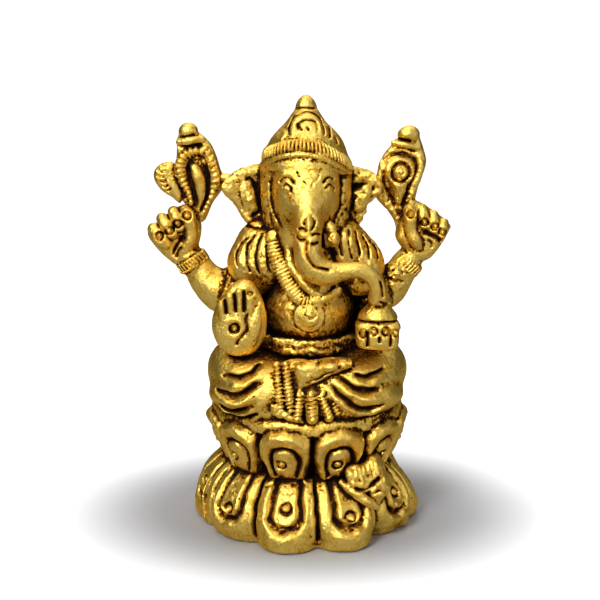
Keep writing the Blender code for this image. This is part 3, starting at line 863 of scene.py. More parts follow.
def sash_tails(clay):
    tails = [
        [
            (-5.0, -14.0, 31.2, 0.6), (-4.8, -15.0, 28.8, 0.75),
            (-4.5, -16.0, 25.4, 0.8), (-4.2, -16.3, 23.4, 0.7),
        ],
        [
            (-3.5, -14.2, 31.4, 0.6), (-3.2, -15.2, 28.8, 0.8),
            (-2.9, -16.2, 26.0, 0.9), (-2.6, -16.4, 24.0, 0.7),
        ],
        [(-1.1, -15.4, 26.4, 0.7), (-1.3, -16.2, 24.6, 0.85), (-1.5, -17.0, 22.8, 0.8)],
        [(0.8, -15.2, 26.4, 0.9), (0.9, -16.2, 24.5, 1.05), (1.0, -17.0, 22.7, 1.05)],
        [(2.7, -15.0, 26.4, 0.7), (3.2, -16.0, 24.5, 0.9), (3.8, -16.7, 22.8, 0.85)],
        [(4.0, -14.6, 26.0, 0.6), (4.7, -15.4, 24.6, 0.7), (5.2, -16.0, 23.4, 0.6)],
    ]
    for tail in tails:
        clay.braid(tail, 0.15, 0.75, 0.62, 0.16, 0.4, back=-12)
    splash = [
        (-6.0, 24.9), (-4.4, 24.3), (-2.8, 23.6), (-0.4, 22.0), (-1.9, 21.9), (-4.4, 22.6), (-6.0, 23.3),
    ]
    clay.plate(splash, -16.2, 1.8, edge=0.6, blend=0.15, bow=lambda x, z: -0.15 * (x + 3))
    clay.blob((-1.5, -13.0, 27.4), (5.0, 2.2, 4.6))
    clay.blob((0.8, -14.0, 24.8), (4.6, 2.0, 2.8))
    clay.rough((-6, -18, 21.5), (-1.5, -13, 27), 0.25, 0.5, seed=12)
    clay.rough((-6, -18, 25.5), (5, -12, 32), 0.12, 0.5, seed=13)


def cut_pleats(clay, lines, rise):
    """Cuts the valleys between pleats, and raises a soft ridge beside each."""
    clay.strokes(lines, 0.2, 0.42, back=1.0, taper=0.12)
    for points in lines:
        clay.stroke([(x + 0.6, z + rise) for x, z in points], 0.4, -0.12, back=1.0, taper=0.12)


def right_shawl(clay):
    drape = [
        (-7.6, -1.0, 52.6, 2.0), (-8.4, -0.8, 49.9, 3.9), (-8.8, -1.0, 46.8, 4.7),
        (-8.6, -1.0, 44.2, 4.2),
    ]
    clay.tube(drape)
    clay.blob((-10.4, 0.0, 46.4), (3.4, 5.4, 3.2), blend=1.5)
    clay.blob((-6.6, -2.2, 47.4), (3.0, 4.6, 5.8), blend=1.5)
    pleats = [
        [(-9.8, 51.8), (-11.4, 50.0), (-12.2, 48.0), (-11.6, 46.0)],
        [(-8.6, 52.4), (-10.2, 49.8), (-10.2, 47.0), (-9.5, 45.4)],
        [(-7.3, 52.6), (-8.5, 49.8), (-8.6, 47.0), (-7.8, 45.0)],
        [(-6.1, 52.9), (-6.8, 49.8), (-6.6, 47.0), (-5.8, 45.4)],
        [(-5.2, 52.9), (-5.4, 49.8), (-4.6, 46.8)],
    ]
    cut_pleats(clay, pleats, 0.1)
    clay.stroke([(-10.3, 53.1), (-8.2, 53.0), (-6.2, 53.6)], 0.32, 0.5)
    clay.rough((-14, -8, 43), (-4, 2, 54), 0.1, 0.6, seed=14)


def left_shawl(clay):
    drape = [(7.4, -1.0, 52.0, 2.2), (8.4, -0.8, 49.4, 3.3), (9.0, -1.0, 46.4, 4.4), (9.0, -1.0, 43.6, 4.3)]
    clay.tube(drape)
    clay.blob((10.4, 0.0, 46.2), (3.4, 5.4, 3.2), blend=1.5)
    clay.blob((6.6, -2.2, 48.6), (3.0, 4.6, 5.6), blend=1.5)
    pleats = [
        [(5.9, 53.6), (5.6, 51.2), (6.2, 48.2)],
        [(7.4, 53.3), (7.4, 50.6), (8.0, 47.8)],
        [(8.4, 52.8), (9.0, 50.4), (9.4, 47.8)],
        [(9.5, 52.0), (10.8, 49.8), (11.0, 47.6)],
        [(10.9, 51.0), (12.2, 49.2), (12.6, 47.4)],
    ]
    cut_pleats(clay, pleats, 0.0)
    clay.rough((4, -8, 43), (14, 2, 54), 0.12, 0.6, seed=15)


# The ornaments on the chest.


def garland(clay):
    line = [
        (-5.6, -6.0, 51.6), (-5.2, -7.0, 49.2), (-4.4, -7.9, 47.0), (-3.2, -8.7, 44.6),
        (-1.9, -9.6, 42.6), (-0.4, -10.2, 41.3), (1.6, -10.3, 40.9),
    ]
    clay.tube([(*place, 1.5) for place in line], flat=0.5)
    clay.hatch([(x, z) for x, y, z in line], 1.5, 0.62, 0.15, 0.3, back=-5)
    bar = [(-2.7, 41.9), (-1.2, 41.0), (0.8, 40.6), (2.6, 40.8)]
    clay.stroke([(x, z - 0.55) for x, z in bar], 0.22, 0.4, back=-8)
    cord = [
        (-3.2, -7.4, 50.4, 0.7), (-2.6, -8.3, 47.4, 0.8), (-0.9, -9.4, 45.0, 0.85),
        (0.9, -10.0, 43.1, 0.8), (2.3, -10.2, 42.4, 0.6),
    ]
    clay.tube(cord, 0.15, ribs=(0.6, 0.1))
    clay.tube([(1.4, -10.4, 41.3, 0.7), (3.4, -10.3, 42.0, 0.65), (5.6, -9.6, 43.2, 0.5)], 0.2)
    clay.rough((-6, -12, 40), (7, -5, 54), 0.08, 0.5, seed=17)


def pendant(clay):
    clay.blob((0.5, -10.4, 38.7), (2.55, 1.25, 2.45))
    turns = np.linspace(math.radians(125), math.radians(415), 12)
    rim = [(0.5 + 2.35 * math.cos(a), -10.7, 38.75 + 2.3 * math.sin(a), 0.3) for a in turns]
    clay.tube(rim, 0.1)
    groove = [(0.5 + 1.95 * math.cos(a), 38.75 + 1.9 * math.sin(a)) for a in turns]
    clay.stroke(groove, 0.26, 0.6, curved=False)
    clay.ring_mark((0.8, 39.3), 0.75, 0.26, 0.5, dot=0.4)
    clay.stroke([(-1.4, 40.6), (0.5, 40.5), (2.6, 40.7)], 0.22, 0.5)


def left_tusk(clay):
    clay.blob((4.6, -8.9, 51.9), (1.15, 1.5, 1.4))
    clay.tube([(3.2, -7.6, 54.6, 0.9), (4.3, -8.0, 53.6, 0.9)])
    for x, z in ((4.0, 51.3), (4.1, 52.1), (4.6, 51.0), (4.5, 52.6)):
        clay.stroke([(x, z), (x + 0.05, z)], 0.2, 0.35, curved=False)


# The head.


def head(clay):
    clay.blob((0.0, -1.6, 58.6), (5.9, 6.4, 6.6))
    clay.blob((0.0, 1.6, 57.2), (7.6, 3.6, 8.0), blend=1.0)
    shield = [
        (-5.4, 63.4), (-5.65, 60.4), (-5.6, 57.4), (-4.7, 54.9), (-3.0, 53.0), (-0.2, 52.2), (2.7, 53.2),
        (4.5, 54.9), (5.65, 57.4), (5.75, 60.4), (5.6, 63.4), (3.7, 65.0), (-0.1, 65.4), (-3.9, 64.9),
    ]
    clay.plate(
        shield, -4.4, 8.4, edge=2.5, blend=1.0,
        bow=lambda x, z: 0.045 * x**2 + 0.018 * (z - 59) ** 2 - 0.5,
    )
    cheek = [(4.6, 65.2), (7.6, 64.4), (8.1, 61.5), (7.8, 57.0), (7.0, 53.2), (5.6, 51.4), (3.2, 50.8)]
    crease = [(5.9, 63.0), (6.05, 60.4), (5.85, 57.4), (4.9, 54.9), (3.2, 52.8)]
    for side, front in ((-1, -3.5), (1, -3.0)):
        clay.plate(on_side(side, cheek), front, 4.4, edge=1.2, blend=0.6, bow=lambda x, z: np.abs(x) - 5.6)
        clay.stroke(on_side(side, crease), 0.3, 0.5, back=-2, taper=0.2)
    for side in (-1, 1):
        clay.rough(*beside(side, 5.4, 9, (-8, 2), (50, 65)), 0.28, 0.7, seed=50 + side)
    clay.blob((-2.5, -6.3, 52.4), (2.0, 2.2, 3.4), blend=1.2)
    clay.blob((0.3, -7.2, 57.4), (3.0, 3.0, 5.4), (-10, 0, 0), blend=2.5)
    clay.tube([(0.4, -9.3, 56.6, 1.9), (0.4, -10.9, 54.2, 2.2)], blend=2.2)
    brows = [
        [(-4.6, 61.2), (-3.9, 62.2), (-2.8, 62.2), (-1.8, 61.1)],
        [(2.8, 61.3), (3.4, 62.2), (4.1, 62.3), (4.8, 61.8)],
    ]
    clay.strokes(brows, 0.22, 0.5, taper=0.12)
    for x, z in ((-3.25, 60.4), (3.95, 60.3)):
        lid = [(x - 0.85, z + 0.2), (x - 0.1, z + 0.85), (x + 0.7, z + 0.3), (x + 0.6, z - 0.6)]
        clay.stroke(lid, 0.18, 0.34, taper=0.08)
        clay.stroke([(x - 0.15, z), (x + 0.1, z)], 0.5, -0.3, curved=False)
        clay.stroke([(px, pz + 0.4) for px, pz in lid[:3]], 0.2, -0.2)
    scratches = [
        [(-2.4, 64.6), (-1.9, 64.0)],
        [(-1.6, 63.6), (-1.4, 62.9), (-0.9, 62.4)],
        [(-0.6, 61.9), (0.2, 61.2)],
        [(3.0, 64.2), (2.4, 63.6), (2.0, 62.2), (1.0, 61.3), (1.0, 60.5)],
    ]
    clay.strokes(scratches, 0.15, 0.15, taper=0.15)


def trunk(clay):
    clay.tube(
        [
            (0.4, -9.3, 56.6, 1.9), (0.4, -10.9, 54.2, 2.2), (0.2, -12.1, 50.9, 2.35),
            (0.9, -12.4, 48.1, 2.5), (3.3, -12.7, 46.7, 2.15), (5.8, -12.8, 47.0, 1.6),
            (8.2, -12.9, 47.3, 1.4), (10.3, -12.8, 46.7, 1.35), (11.6, -12.6, 45.3, 1.4),
            (12.1, -12.4, 43.8, 1.5), (12.1, -12.0, 42.4, 1.7),
        ],
        blend=0.8,
    )
    clay.stroke([(0.1, 52.6), (-0.1, 51.0), (0.4, 49.2), (1.8, 48.0), (4.1, 47.5)], 0.24, 0.6, taper=0.06)
    clay.stroke([(0.6, 52.6), (0.4, 51.0), (0.9, 49.6), (2.2, 48.5), (4.3, 47.9)], 0.24, -0.22, taper=0.06)
    leaf = [
        [(0.35, 56.7), (-0.4, 55.7), (-0.25, 54.4)],
        [(0.95, 56.5), (1.35, 55.3), (0.7, 53.8)],
        [(-1.6, 54.1), (-0.6, 54.3), (0.2, 53.7)],
        [(-1.9, 53.5), (-1.1, 52.5), (0.1, 52.7)],
        [(0.9, 53.1), (1.6, 53.4), (2.4, 53.0)],
        [(0.6, 52.1), (1.3, 51.8), (2.1, 52.1)],
    ]
    clay.strokes(leaf, 0.24, 0.62, taper=0.15)
    for points in ([(0.4, 56.3), (0.35, 54.2)], [(-1.3, 53.4), (-0.3, 53.3)], [(0.9, 52.6), (1.8, 52.6)]):
        clay.stroke(points, 0.4, -0.22)
    clay.stroke([(12.2, 45.7), (12.6, 44.2), (12.8, 42.5)], 0.2, 0.6, taper=0.1)
    clay.stroke([(12.3, 41.9), (13.9, 41.2)], 0.2, 0.6)


def ear(clay, side):
    if side < 0:
        outline = [
            (-6.2, 64.2), (-8.1, 63.9), (-11.2, 63.2), (-13.1, 62.1), (-14.4, 61.1), (-14.9, 59.9),
            (-14.3, 58.7), (-13.2, 57.6), (-12.0, 56.0), (-10.6, 53.6), (-8.0, 52.8), (-5.5, 53.8),
        ]
        hollow = [(-10.8, 61.4), (-9.6, 61.3), (-8.7, 59.6), (-8.1, 57.1), (-8.4, 55.8), (-9.8, 54.7)]
        width = 0.34
    else:
        outline = [
            (6.0, 64.0), (7.4, 63.8), (9.6, 63.2), (11.5, 62.5), (12.8, 61.6), (13.6, 60.3), (13.2, 58.8),
            (11.9, 57.7), (10.9, 56.6), (10.5, 55.2), (9.0, 53.2), (5.5, 53.4),
        ]
        hollow = [(12.0, 59.2), (10.6, 60.1), (9.2, 60.3), (8.0, 59.6), (7.4, 57.8), (7.9, 55.9)]
        width = 0.5
    clay.plate(outline, -0.4, 2.4, edge=0.9, bow=lambda x, z: -0.04 * (side * x - 10) ** 2 + 0.3)
    clay.blob((side * 5.6, 0.8, 57.4), (3.2, 2.4, 7.2), blend=0.6)
    root = [(7.0, 63.6), (6.9, 60.0), (6.6, 56.0), (6.8, 53.0)]
    clay.stroke(on_side(side, root), 0.4, 0.9, back=1.0)
    clay.stroke(hollow, width, 1.0, back=1.0, taper=0.08)
    clay.blob((side * 10.0, -1.2, 58.0), (1.3, 0.8, 2.6), (0, side * 25, 0), blend=0.5)
    clay.rough(*beside(side, 5, 15, (-5, 1), (52, 65)), 0.2, 0.7, seed=20 + side)


def crown(clay):
    profile = [
        (7.6, 63.0), (7.7, 64.2), (7.35, 65.4), (7.0, 66.6), (6.5, 67.8), (5.8, 68.9), (4.8, 70.0),
        (3.6, 71.2), (2.7, 72.4), (1.95, 73.5), (1.7, 74.2),
    ]
    clay.turned(profile, 63.2, 73.9, edge=0.3, centre=(0, -1))
    medal = [
        (-2.9, 68.6), (-2.9, 70.6), (-2.0, 72.4), (0.2, 73.3), (2.0, 72.4), (3.0, 70.6), (3.1, 68.6),
        (0.1, 68.2),
    ]
    clay.plate(
        medal, -5.0, 2.4, edge=0.7, blend=0.5,
        bow=lambda x, z: 0.62 * (z - 69.2) - 0.3 + 0.09 * x**2,
    )
    rim = [(-2.9, 68.9), (-2.9, 70.4), (-1.9, 72.2), (0.2, 73.0), (1.9, 72.2), (2.9, 70.5), (3.0, 68.9)]
    clay.stroke(rim, 0.2, 0.36, taper=0.05)
    clay.stroke([(-1.6, 70.0), (-1.2, 71.2), (0.2, 71.8), (1.7, 71.2), (2.1, 69.8)], 0.22, 0.4, taper=0.1)
    clay.stroke([(-1.9, 73.55), (0, 73.9), (1.9, 73.6)], 0.24, 0.55)
    clay.stroke([(-0.9, 70.3), (-1.5, 70.9)], 0.25, 0.35)
    clay.stroke([(0.2, 70.4), (0.4, 70.2)], 0.25, 0.45)
    clay.strokes([[(3.9, 70.2), (4.1, 68.9)], [(5.0, 68.6), (5.3, 67.8)]], 0.22, 0.45)
    clay.strokes([[(-2.6, 71.6), (-3.2, 70.6)], [(-3.6, 69.6), (-4.2, 68.6)]], 0.3, -0.35)


def crown_band(clay):
    shape = {"arch": 0.048, "roll": 0.10, "slope": 0.2}
    clay.hoop((0, -1, 67.7), 7.0, 1.9, 0.35, ribs=66, depth=0.8, **shape)
    clay.hoop((0, -1, 66.15), 7.05, 1.0, 0.55, ribs=84, depth=0.08, **shape)
    clay.hoop((0, -1, 65.25), 6.8, 0.7, 0.4, ribs=52, depth=0.4, **shape)
    clay.hoop((0, -1, 66.7), 6.8, 3.6, 0.2, **shape)


def crown_finial(clay):
    profile = [(1.85, 73.5), (1.8, 74.1), (1.5, 74.8), (1.05, 75.4), (0.5, 75.85), (0.2, 76.0)]
    clay.turned(profile, 73.8, 76.0, edge=0.25, centre=(0, -1))


# The arms and what they hold.


def fist(clay, palm, y, thickness, fingers, nails, nail):
    """A closed hand with a ring struck on each nail. nail is a ring's (radius, width, depth)."""
    clay.plate(palm, y, thickness, edge=1.6, blend=0.6)
    for stations in fingers:
        clay.tube(stations, blend=0.15)
    for place in nails:
        clay.ring_mark(place, *nail, dot=0.35)


def rear_right_arm(clay):
    clay.tube(
        [
            (-9.0, 2.6, 46.0, 3.0), (-12.0, 2.8, 42.6, 3.3), (-15.0, 2.4, 40.9, 3.95),
            (-17.7, 2.2, 42.6, 3.2), (-19.5, 2.1, 45.2, 2.6), (-21.4, 2.0, 47.8, 2.3),
        ],
        blend=1.0,
    )
    clay.blob((-15.7, 2.2, 38.9), (2.2, 2.4, 2.0), blend=0.8)
    palm = [
        (-28.0, 52.0), (-25.4, 54.4), (-22.6, 56.2), (-20.3, 56.0), (-18.9, 53.4), (-19.0, 50.4),
        (-20.4, 46.8), (-23.1, 45.6), (-24.9, 46.8), (-26.7, 48.6), (-28.2, 50.8),
    ]
    fingers = [
        [(-27.0, 0.8, 52.2, 1.25), (-26.0, 0.2, 50.8, 1.35), (-25.0, 0.4, 49.7, 1.1)],
        [(-25.6, 0.9, 54.1, 1.1), (-24.7, 0.1, 52.9, 1.2), (-23.8, 0.2, 51.6, 1.1)],
        [(-23.5, 0.9, 55.3, 1.1), (-22.9, 0.1, 54.1, 1.15), (-22.4, 0.2, 52.8, 1.0)],
    ]
    thumb = [(-21.6, 0.9, 55.7, 1.0), (-20.9, 0.1, 54.6, 1.25), (-20.4, 0.3, 52.4, 1.1)]
    fingers.append(thumb + [(-20.6, 0.3, 50.2, 1.05), (-21.7, 0.6, 48.6, 1.0)])
    nails = [(-26.0, 51.2), (-24.2, 52.2), (-22.7, 53.4), (-21.0, 54.9)]
    fist(clay, palm, 2.2, 4.2, fingers, nails, (0.68, 0.22, 0.6))
    clay.stroke([(-21.4, 51.0), (-22.4, 50.3), (-24.0, 47.4)], 0.4, 0.9, taper=0.2)
    clay.stroke([(-21.9, 49.4), (-22.9, 48.3), (-23.0, 46.9)], 0.28, 0.6, taper=0.2)
    clay.stroke([(-22.4, 49.9), (-23.3, 48.0)], 0.25, -0.5)


def rear_left_arm(clay):
    clay.tube(
        [
            (9.0, 2.6, 46.0, 3.0), (11.4, 2.8, 42.8, 3.2), (13.9, 2.4, 41.2, 3.9),
            (16.2, 2.2, 43.1, 3.1), (18.1, 2.0, 45.9, 2.5), (19.3, 2.0, 47.6, 2.2),
        ],
        blend=1.0,
    )
    palm = [
        (18.0, 57.2), (20.2, 57.0), (23.4, 55.0), (25.7, 53.1), (25.6, 51.9), (23.8, 48.7), (21.8, 46.6),
        (19.2, 47.0), (16.5, 49.8), (16.2, 52.0),
    ]
    fingers = [
        [(20.6, 0.6, 56.0, 0.9), (20.9, 0.0, 54.4, 1.05), (21.2, 0.2, 53.2, 1.0)],
        [(22.6, 0.6, 54.8, 0.95), (22.7, 0.0, 53.4, 1.05), (22.9, 0.2, 52.2, 1.0)],
        [(24.6, 0.7, 53.4, 0.85), (24.3, 0.1, 52.4, 0.95), (24.1, 0.3, 51.2, 0.9)],
    ]
    thumb = [(18.3, 0.5, 56.0, 1.0), (18.5, -0.1, 54.9, 1.2), (18.6, 0.1, 52.2, 1.1)]
    fingers.append(thumb + [(19.4, 0.0, 50.4, 1.2), (20.0, 0.4, 49.3, 1.0)])
    nails = [(18.5, 55.1), (21.0, 53.7), (22.8, 52.9), (24.2, 51.9)]
    fist(clay, palm, 2.0, 4.4, fingers, nails, (0.62, 0.2, 0.55))
    clay.stroke([(20.6, 52.2), (22.6, 51.2), (24.4, 50.0)], 0.4, 0.8, taper=0.2)
    clay.stroke([(21.4, 50.6), (22.4, 49.8), (22.4, 48.7)], 0.28, 0.5, taper=0.2)
    clay.blob((16.2, -0.3, 44.2), (1.7, 0.8, 1.7), blend=0.2)
    clay.ring_mark((16.2, 44.2), 1.1, 0.2, 0.3, dot=0.2)
    clay.rough((14, -2, 42), (18.5, 1, 46.5), 0.3, 0.5, seed=21)


def bangle(clay, side):
    """Three rings side by side round the wrist of a raised arm, cut across and along."""
    low, high = ((17.6, 44.9), (19.1, 46.8)) if side > 0 else ((-19.8, 45.2), (-21.0, 47.2))
    radius = 2.35 if side > 0 else 2.6
    axis = np.array([high[0] - low[0], 0, high[1] - low[1]])
    axis = axis / np.linalg.norm(axis)
    across = np.array([axis[2], 0, -axis[0]])
    middle = np.array([(low[0] + high[0]) / 2, 2.0, (low[1] + high[1]) / 2])
    deep = np.array([0, 1, 0])
    for shift in (-0.7, 0, 0.7):
        centre = middle + shift * axis
        ring = [
            centre + (radius - 0.1) * (math.cos(a) * across + math.sin(a) * deep)
            for a in np.arange(16) * math.tau / 16
        ]
        clay.tube([(*place, 0.5) for place in ring], 0.5, closed=True)
    clay.tube([(*(middle - 0.7 * axis), radius - 0.2), (*(middle + 0.7 * axis), radius - 0.2)])
    slant = 0.15 * side
    for number in range(-4, 5):
        rib = middle + 0.62 * number * across
        ends = [rib - 0.75 * axis - slant * across, rib + 0.75 * axis + slant * across]
        clay.stroke([(place[0], place[2]) for place in ends], 0.15, 0.42, back=2.0, curved=False)
    for shift in (-1.15, 1.15):
        ends = [middle + shift * axis - 3 * across, middle + shift * axis + 3 * across]
        clay.stroke([(place[0], place[2]) for place in ends], 0.2, 0.3, back=2.0, curved=False)


def right_emblem(clay):
    outline = [
        (-21.0, 70.4), (-22.6, 68.6), (-22.8, 67.2), (-22.9, 65.4), (-23.0, 63.4), (-23.2, 61.5),
        (-22.8, 58.5), (-21.0, 56.0), (-18.5, 53.4), (-16.5, 57.0), (-14.9, 59.2), (-14.5, 60.9),
        (-15.1, 62.6), (-15.8, 64.9), (-16.7, 67.1), (-17.9, 68.5), (-19.4, 69.6),
    ]
    clay.plate(outline, 2.0, 2.0, edge=0.8)
    clay.blob((-20.7, 1.6, 69.4), (1.75, 1.5, 1.65), blend=0.2)
    clay.stroke([(-22.6, 68.5), (-21.0, 68.7), (-19.3, 69.1)], 0.22, 0.6, taper=0.1)
    clay.tube([(-22.2, 1.2, 67.6, 0.7), (-20.4, 0.7, 67.9, 0.8), (-18.3, 1.2, 68.1, 0.6)], 0.2)
    clay.stroke([(-22.7, 66.8), (-20.4, 67.0), (-18.2, 67.2)], 0.22, 0.5, taper=0.1)
    rope = [
        (-18.4, 1.0, 66.0, 0.8), (-19.8, 0.8, 66.0, 0.9), (-21.4, 0.8, 65.2, 1.0),
        (-22.1, 0.7, 63.6, 1.05), (-22.1, 0.7, 61.8, 1.05), (-21.4, 0.8, 60.0, 0.95),
        (-20.7, 0.9, 58.4, 0.75), (-20.3, 1.1, 56.9, 0.55),
    ]
    clay.braid(rope, 0.15, 0.7, 0.85, 0.2, 0.4)
    horn = [
        (-19.7, 1.1, 63.0, 0.95), (-19.1, 0.7, 61.7, 1.15), (-18.6, 0.8, 59.4, 1.0),
        (-18.6, 1.0, 57.4, 0.8), (-19.2, 1.2, 55.8, 0.55),
    ]
    clay.tube(horn, 0.15)
    edge = [
        (-17.8, 1.1, 66.4, 0.75), (-16.7, 0.9, 64.3, 0.85), (-16.1, 0.9, 61.8, 0.95),
        (-16.3, 0.9, 59.4, 0.9), (-17.3, 1.0, 57.0, 0.7), (-18.5, 1.2, 54.8, 0.5),
    ]
    clay.braid(edge, 0.15, 0.45, 1.0, 0.22, 0.35)
    left_groove = [(-18.0, 63.8), (-17.4, 61.8), (-17.3, 59.6), (-17.8, 57.6), (-19.0, 55.2)]
    clay.stroke(left_groove, 0.3, 0.9, taper=0.08)
    right_groove = [(-20.8, 63.6), (-20.5, 61.6), (-19.9, 59.3), (-19.6, 57.3), (-19.9, 56.0)]
    clay.stroke(right_groove, 0.32, 0.9, taper=0.08)
    clay.stroke([(-23.5, 61.6), (-22.8, 59.8), (-21.4, 57.4)], 0.45, 1.0, taper=0.1)
    lobe = [
        (-23.4, 63.9), (-25.4, 63.9), (-26.8, 62.7), (-27.0, 61.4), (-26.5, 60.1), (-25.4, 58.8),
        (-23.9, 57.9), (-22.4, 56.8), (-22.0, 59.0), (-22.6, 62.0),
    ]
    clay.plate(lobe, 2.0, 2.8, edge=1.2, blend=0.15)
    crescents = [
        [(-25.7, 63.7), (-25.2, 63.3), (-24.5, 63.5)],
        [(-26.2, 62.8), (-25.5, 62.4), (-24.8, 62.7)],
        [(-26.4, 62.0), (-25.7, 61.5), (-25.0, 61.7)],
        [(-26.0, 60.9), (-25.2, 60.7), (-24.6, 61.1)],
        [(-25.5, 59.9), (-24.8, 59.8), (-24.3, 60.4)],
        [(-24.8, 59.0), (-24.2, 59.1), (-23.8, 59.8)],
    ]
    clay.strokes(crescents, 0.18, 0.5, taper=0.15)
    clay.tube([(-15.2, 1.6, 61.4, 0.8), (-13.9, 1.4, 61.3, 0.8)], 0.4)


def left_emblem(clay):
    outline = [
        (18.4, 70.4), (16.9, 69.9), (16.0, 68.5), (15.0, 67.0), (13.9, 65.6), (13.0, 63.9), (12.6, 62.0),
        (12.2, 59.8), (12.6, 57.6), (14.4, 55.7), (15.7, 53.8), (16.6, 51.8), (18.4, 53.6), (19.4, 57.4),
        (20.2, 60.6), (21.0, 62.6), (21.3, 64.4), (20.8, 66.3), (20.1, 68.4), (19.6, 69.8),
    ]
    clay.plate(outline, 2.0, 2.1, edge=0.9)
    clay.blob((18.1, 1.5, 69.0), (1.95, 1.4, 1.5), blend=0.2)
    clay.stroke([(15.9, 68.3), (16.9, 68.2), (18.4, 67.8)], 0.26, 0.7, back=3, taper=0.1)
    clay.tube([(15.4, 1.2, 67.5, 0.45), (17.3, 0.8, 67.2, 0.6), (19.8, 1.2, 66.7, 0.5)], 0.3)
    clay.stroke([(14.8, 67.0), (17.0, 66.4), (19.8, 65.9)], 0.24, 0.4, taper=0.1)
    clay.blob((16.6, 1.3, 62.5), (2.8, 1.3, 2.8), blend=0.15)
    clay.tube([(16.4, 0.9, 60.2, 1.5), (16.5, 1.1, 58.2, 1.1), (16.8, 1.4, 56.2, 0.5)], 0.2)
    hood = [
        (13.5, 63.4), (14.2, 64.9), (15.9, 65.7), (18.2, 65.3), (19.5, 63.9), (19.6, 62.2), (18.8, 60.2),
        (17.7, 58.0), (16.9, 56.2),
    ]
    clay.stroke(hood, 0.34, 1.0, taper=0.05)
    clay.stroke([(13.6, 62.9), (13.8, 60.6), (14.9, 58.3), (16.0, 56.0)], 0.3, 0.7, taper=0.1)
    clay.ring_mark((16.7, 62.4), 1.6, 0.28, 0.7, dot=0)
    clay.blob((16.7, 0.2, 62.4), (1.2, 0.6, 1.2), blend=0.1)
    curl = [(16.2, 62.9), (16.7, 63.2), (17.2, 62.8), (17.2, 62.2), (16.7, 61.9), (16.4, 62.2)]
    clay.stroke(curl, 0.16, 0.4)
    edge = [
        (19.9, 1.2, 65.2, 0.5), (20.3, 1.0, 63.4, 0.6), (19.8, 1.0, 61.4, 0.65), (18.9, 1.1, 59.2, 0.65),
        (18.2, 1.2, 57.4, 0.55),
    ]
    clay.tube(edge, 0.2, ribs=(0.8, 0.2))
    cord = [(13.2, 1.5, 59.2, 0.5), (14.2, 1.4, 57.7, 0.55), (15.3, 1.3, 56.0, 0.55), (16.2, 1.2, 54.2, 0.45)]
    clay.tube(cord, 0.1, ribs=(1.1, 0.3))
    clay.rough((13, -1, 55), (20, 2, 60.5), 0.2, 0.5, seed=31)


def fore_arm(clay, side):
    """The upper arm of a front hand, coming down from under the shawl and then forward."""
    arm = [
        (10.4, 0.6, 45.2, 2.9), (12.0, -0.8, 41.0, 3.0), (12.2, -2.6, 37.4, 3.1), (11.8, -6.0, 36.8, 2.9),
        (11.8, -8.0, 37.6, 2.8),
    ]
    clay.tube(on_side(side, arm), blend=1.0)
    flank = [(8.0, 2.4, 49.0, 3.0), (8.8, 2.4, 42.0, 3.6), (8.6, 2.4, 35.0, 3.6)]
    clay.tube(on_side(side, flank), blend=1.0)
    clay.rough(*beside(side, 7, 16, (-9, 0), (38, 46)), 0.25, 0.5, seed=40 + side)


def blessing_palm(clay):
    outline = [
        (-10.5, 45.2), (-12.8, 44.2), (-14.9, 41.6), (-16.1, 38.4), (-15.9, 35.6), (-14.4, 32.9),
        (-11.6, 31.8), (-8.8, 32.6), (-7.0, 35.4), (-6.8, 38.6), (-7.6, 42.2), (-8.8, 44.4),
    ]
    clay.plate(outline, -10.2, 3.6, edge=1.5)
    clay.blob((-11.9, -11.6, 36.6), (3.6, 1.2, 4.4), blend=0.4)
    clay.blob((-9.2, -11.9, 36.6), (1.4, 0.9, 3.6), (0, 14, 0), blend=0.2)
    for x, top in ((-14.3, 41.8), (-12.9, 43.2), (-11.3, 43.8), (-9.6, 43.3)):
        lean = 0.10 * (x + 11)
        clay.tube([(x - lean, -11.7, 38.6, 0.85), (x, -11.8, top - 0.6, 0.78)], blend=0.12)
    gaps = [[(-13.8, 42.2), (-13.5, 39.4)], [(-12.2, 43.4), (-11.9, 39.7)], [(-10.6, 43.8), (-10.5, 39.8)]]
    clay.strokes(gaps, 0.26, 0.75, taper=0.15)
    lifeline = [(-9.6, 40.5), (-10.4, 38.6), (-10.1, 36.9), (-11.7, 35.0), (-12.0, 33.9)]
    clay.stroke(lifeline, 0.28, 0.5, taper=0.15)
    clay.ring_mark((-12.2, 37.2), 0.72, 0.36, 0.75, dot=0.55)
    clay.ring_mark((-9.5, 43.0), 0.42, 0.2, 0.4, dot=0.2)
    clay.stroke([(-8.5, 42.0), (-8.1, 41.4), (-8.5, 40.9)], 0.2, 0.5)


def offering_hand(clay):
    outline = [
        (8.7, 38.2), (8.5, 35.5), (9.0, 33.9), (12.2, 33.4), (15.2, 33.6), (15.8, 35.6), (15.7, 38.2),
        (12.2, 38.5),
    ]
    clay.plate(outline, -11.6, 5.0, edge=1.5)
    for place in ((9.6, 36.5), (11.4, 36.9), (13.4, 36.9), (15.2, 36.6)):
        clay.ring_mark(place, 0.62, 0.24, 0.5, dot=0.35)
    grooves = [[(10.4, 37.2), (10.4, 33.9)], [(12.4, 36.0), (12.3, 34.9)], [(14.2, 36.6), (14.2, 34.0)]]
    clay.strokes(grooves, 0.26, 0.75, taper=0.15)


def sweet_bowl(clay):
    profile = [(3.3, 38.4), (3.4, 38.9), (3.1, 39.6), (2.3, 40.6), (1.4, 41.5), (0.9, 42.2)]
    clay.turned(profile, 38.3, 42.0, edge=0.4, centre=(12.2, -11.4))
    clay.stroke([(8.9, 38.6), (12.2, 38.7), (15.4, 38.6)], 0.22, 0.7)
    clay.stroke([(9.6, 39.6), (10.4, 40.6), (11.3, 41.4)], 0.35, -0.4, taper=0.3)
    clay.stroke([(9.7, 40.4), (10.7, 41.3)], 0.2, 0.4, taper=0.3)


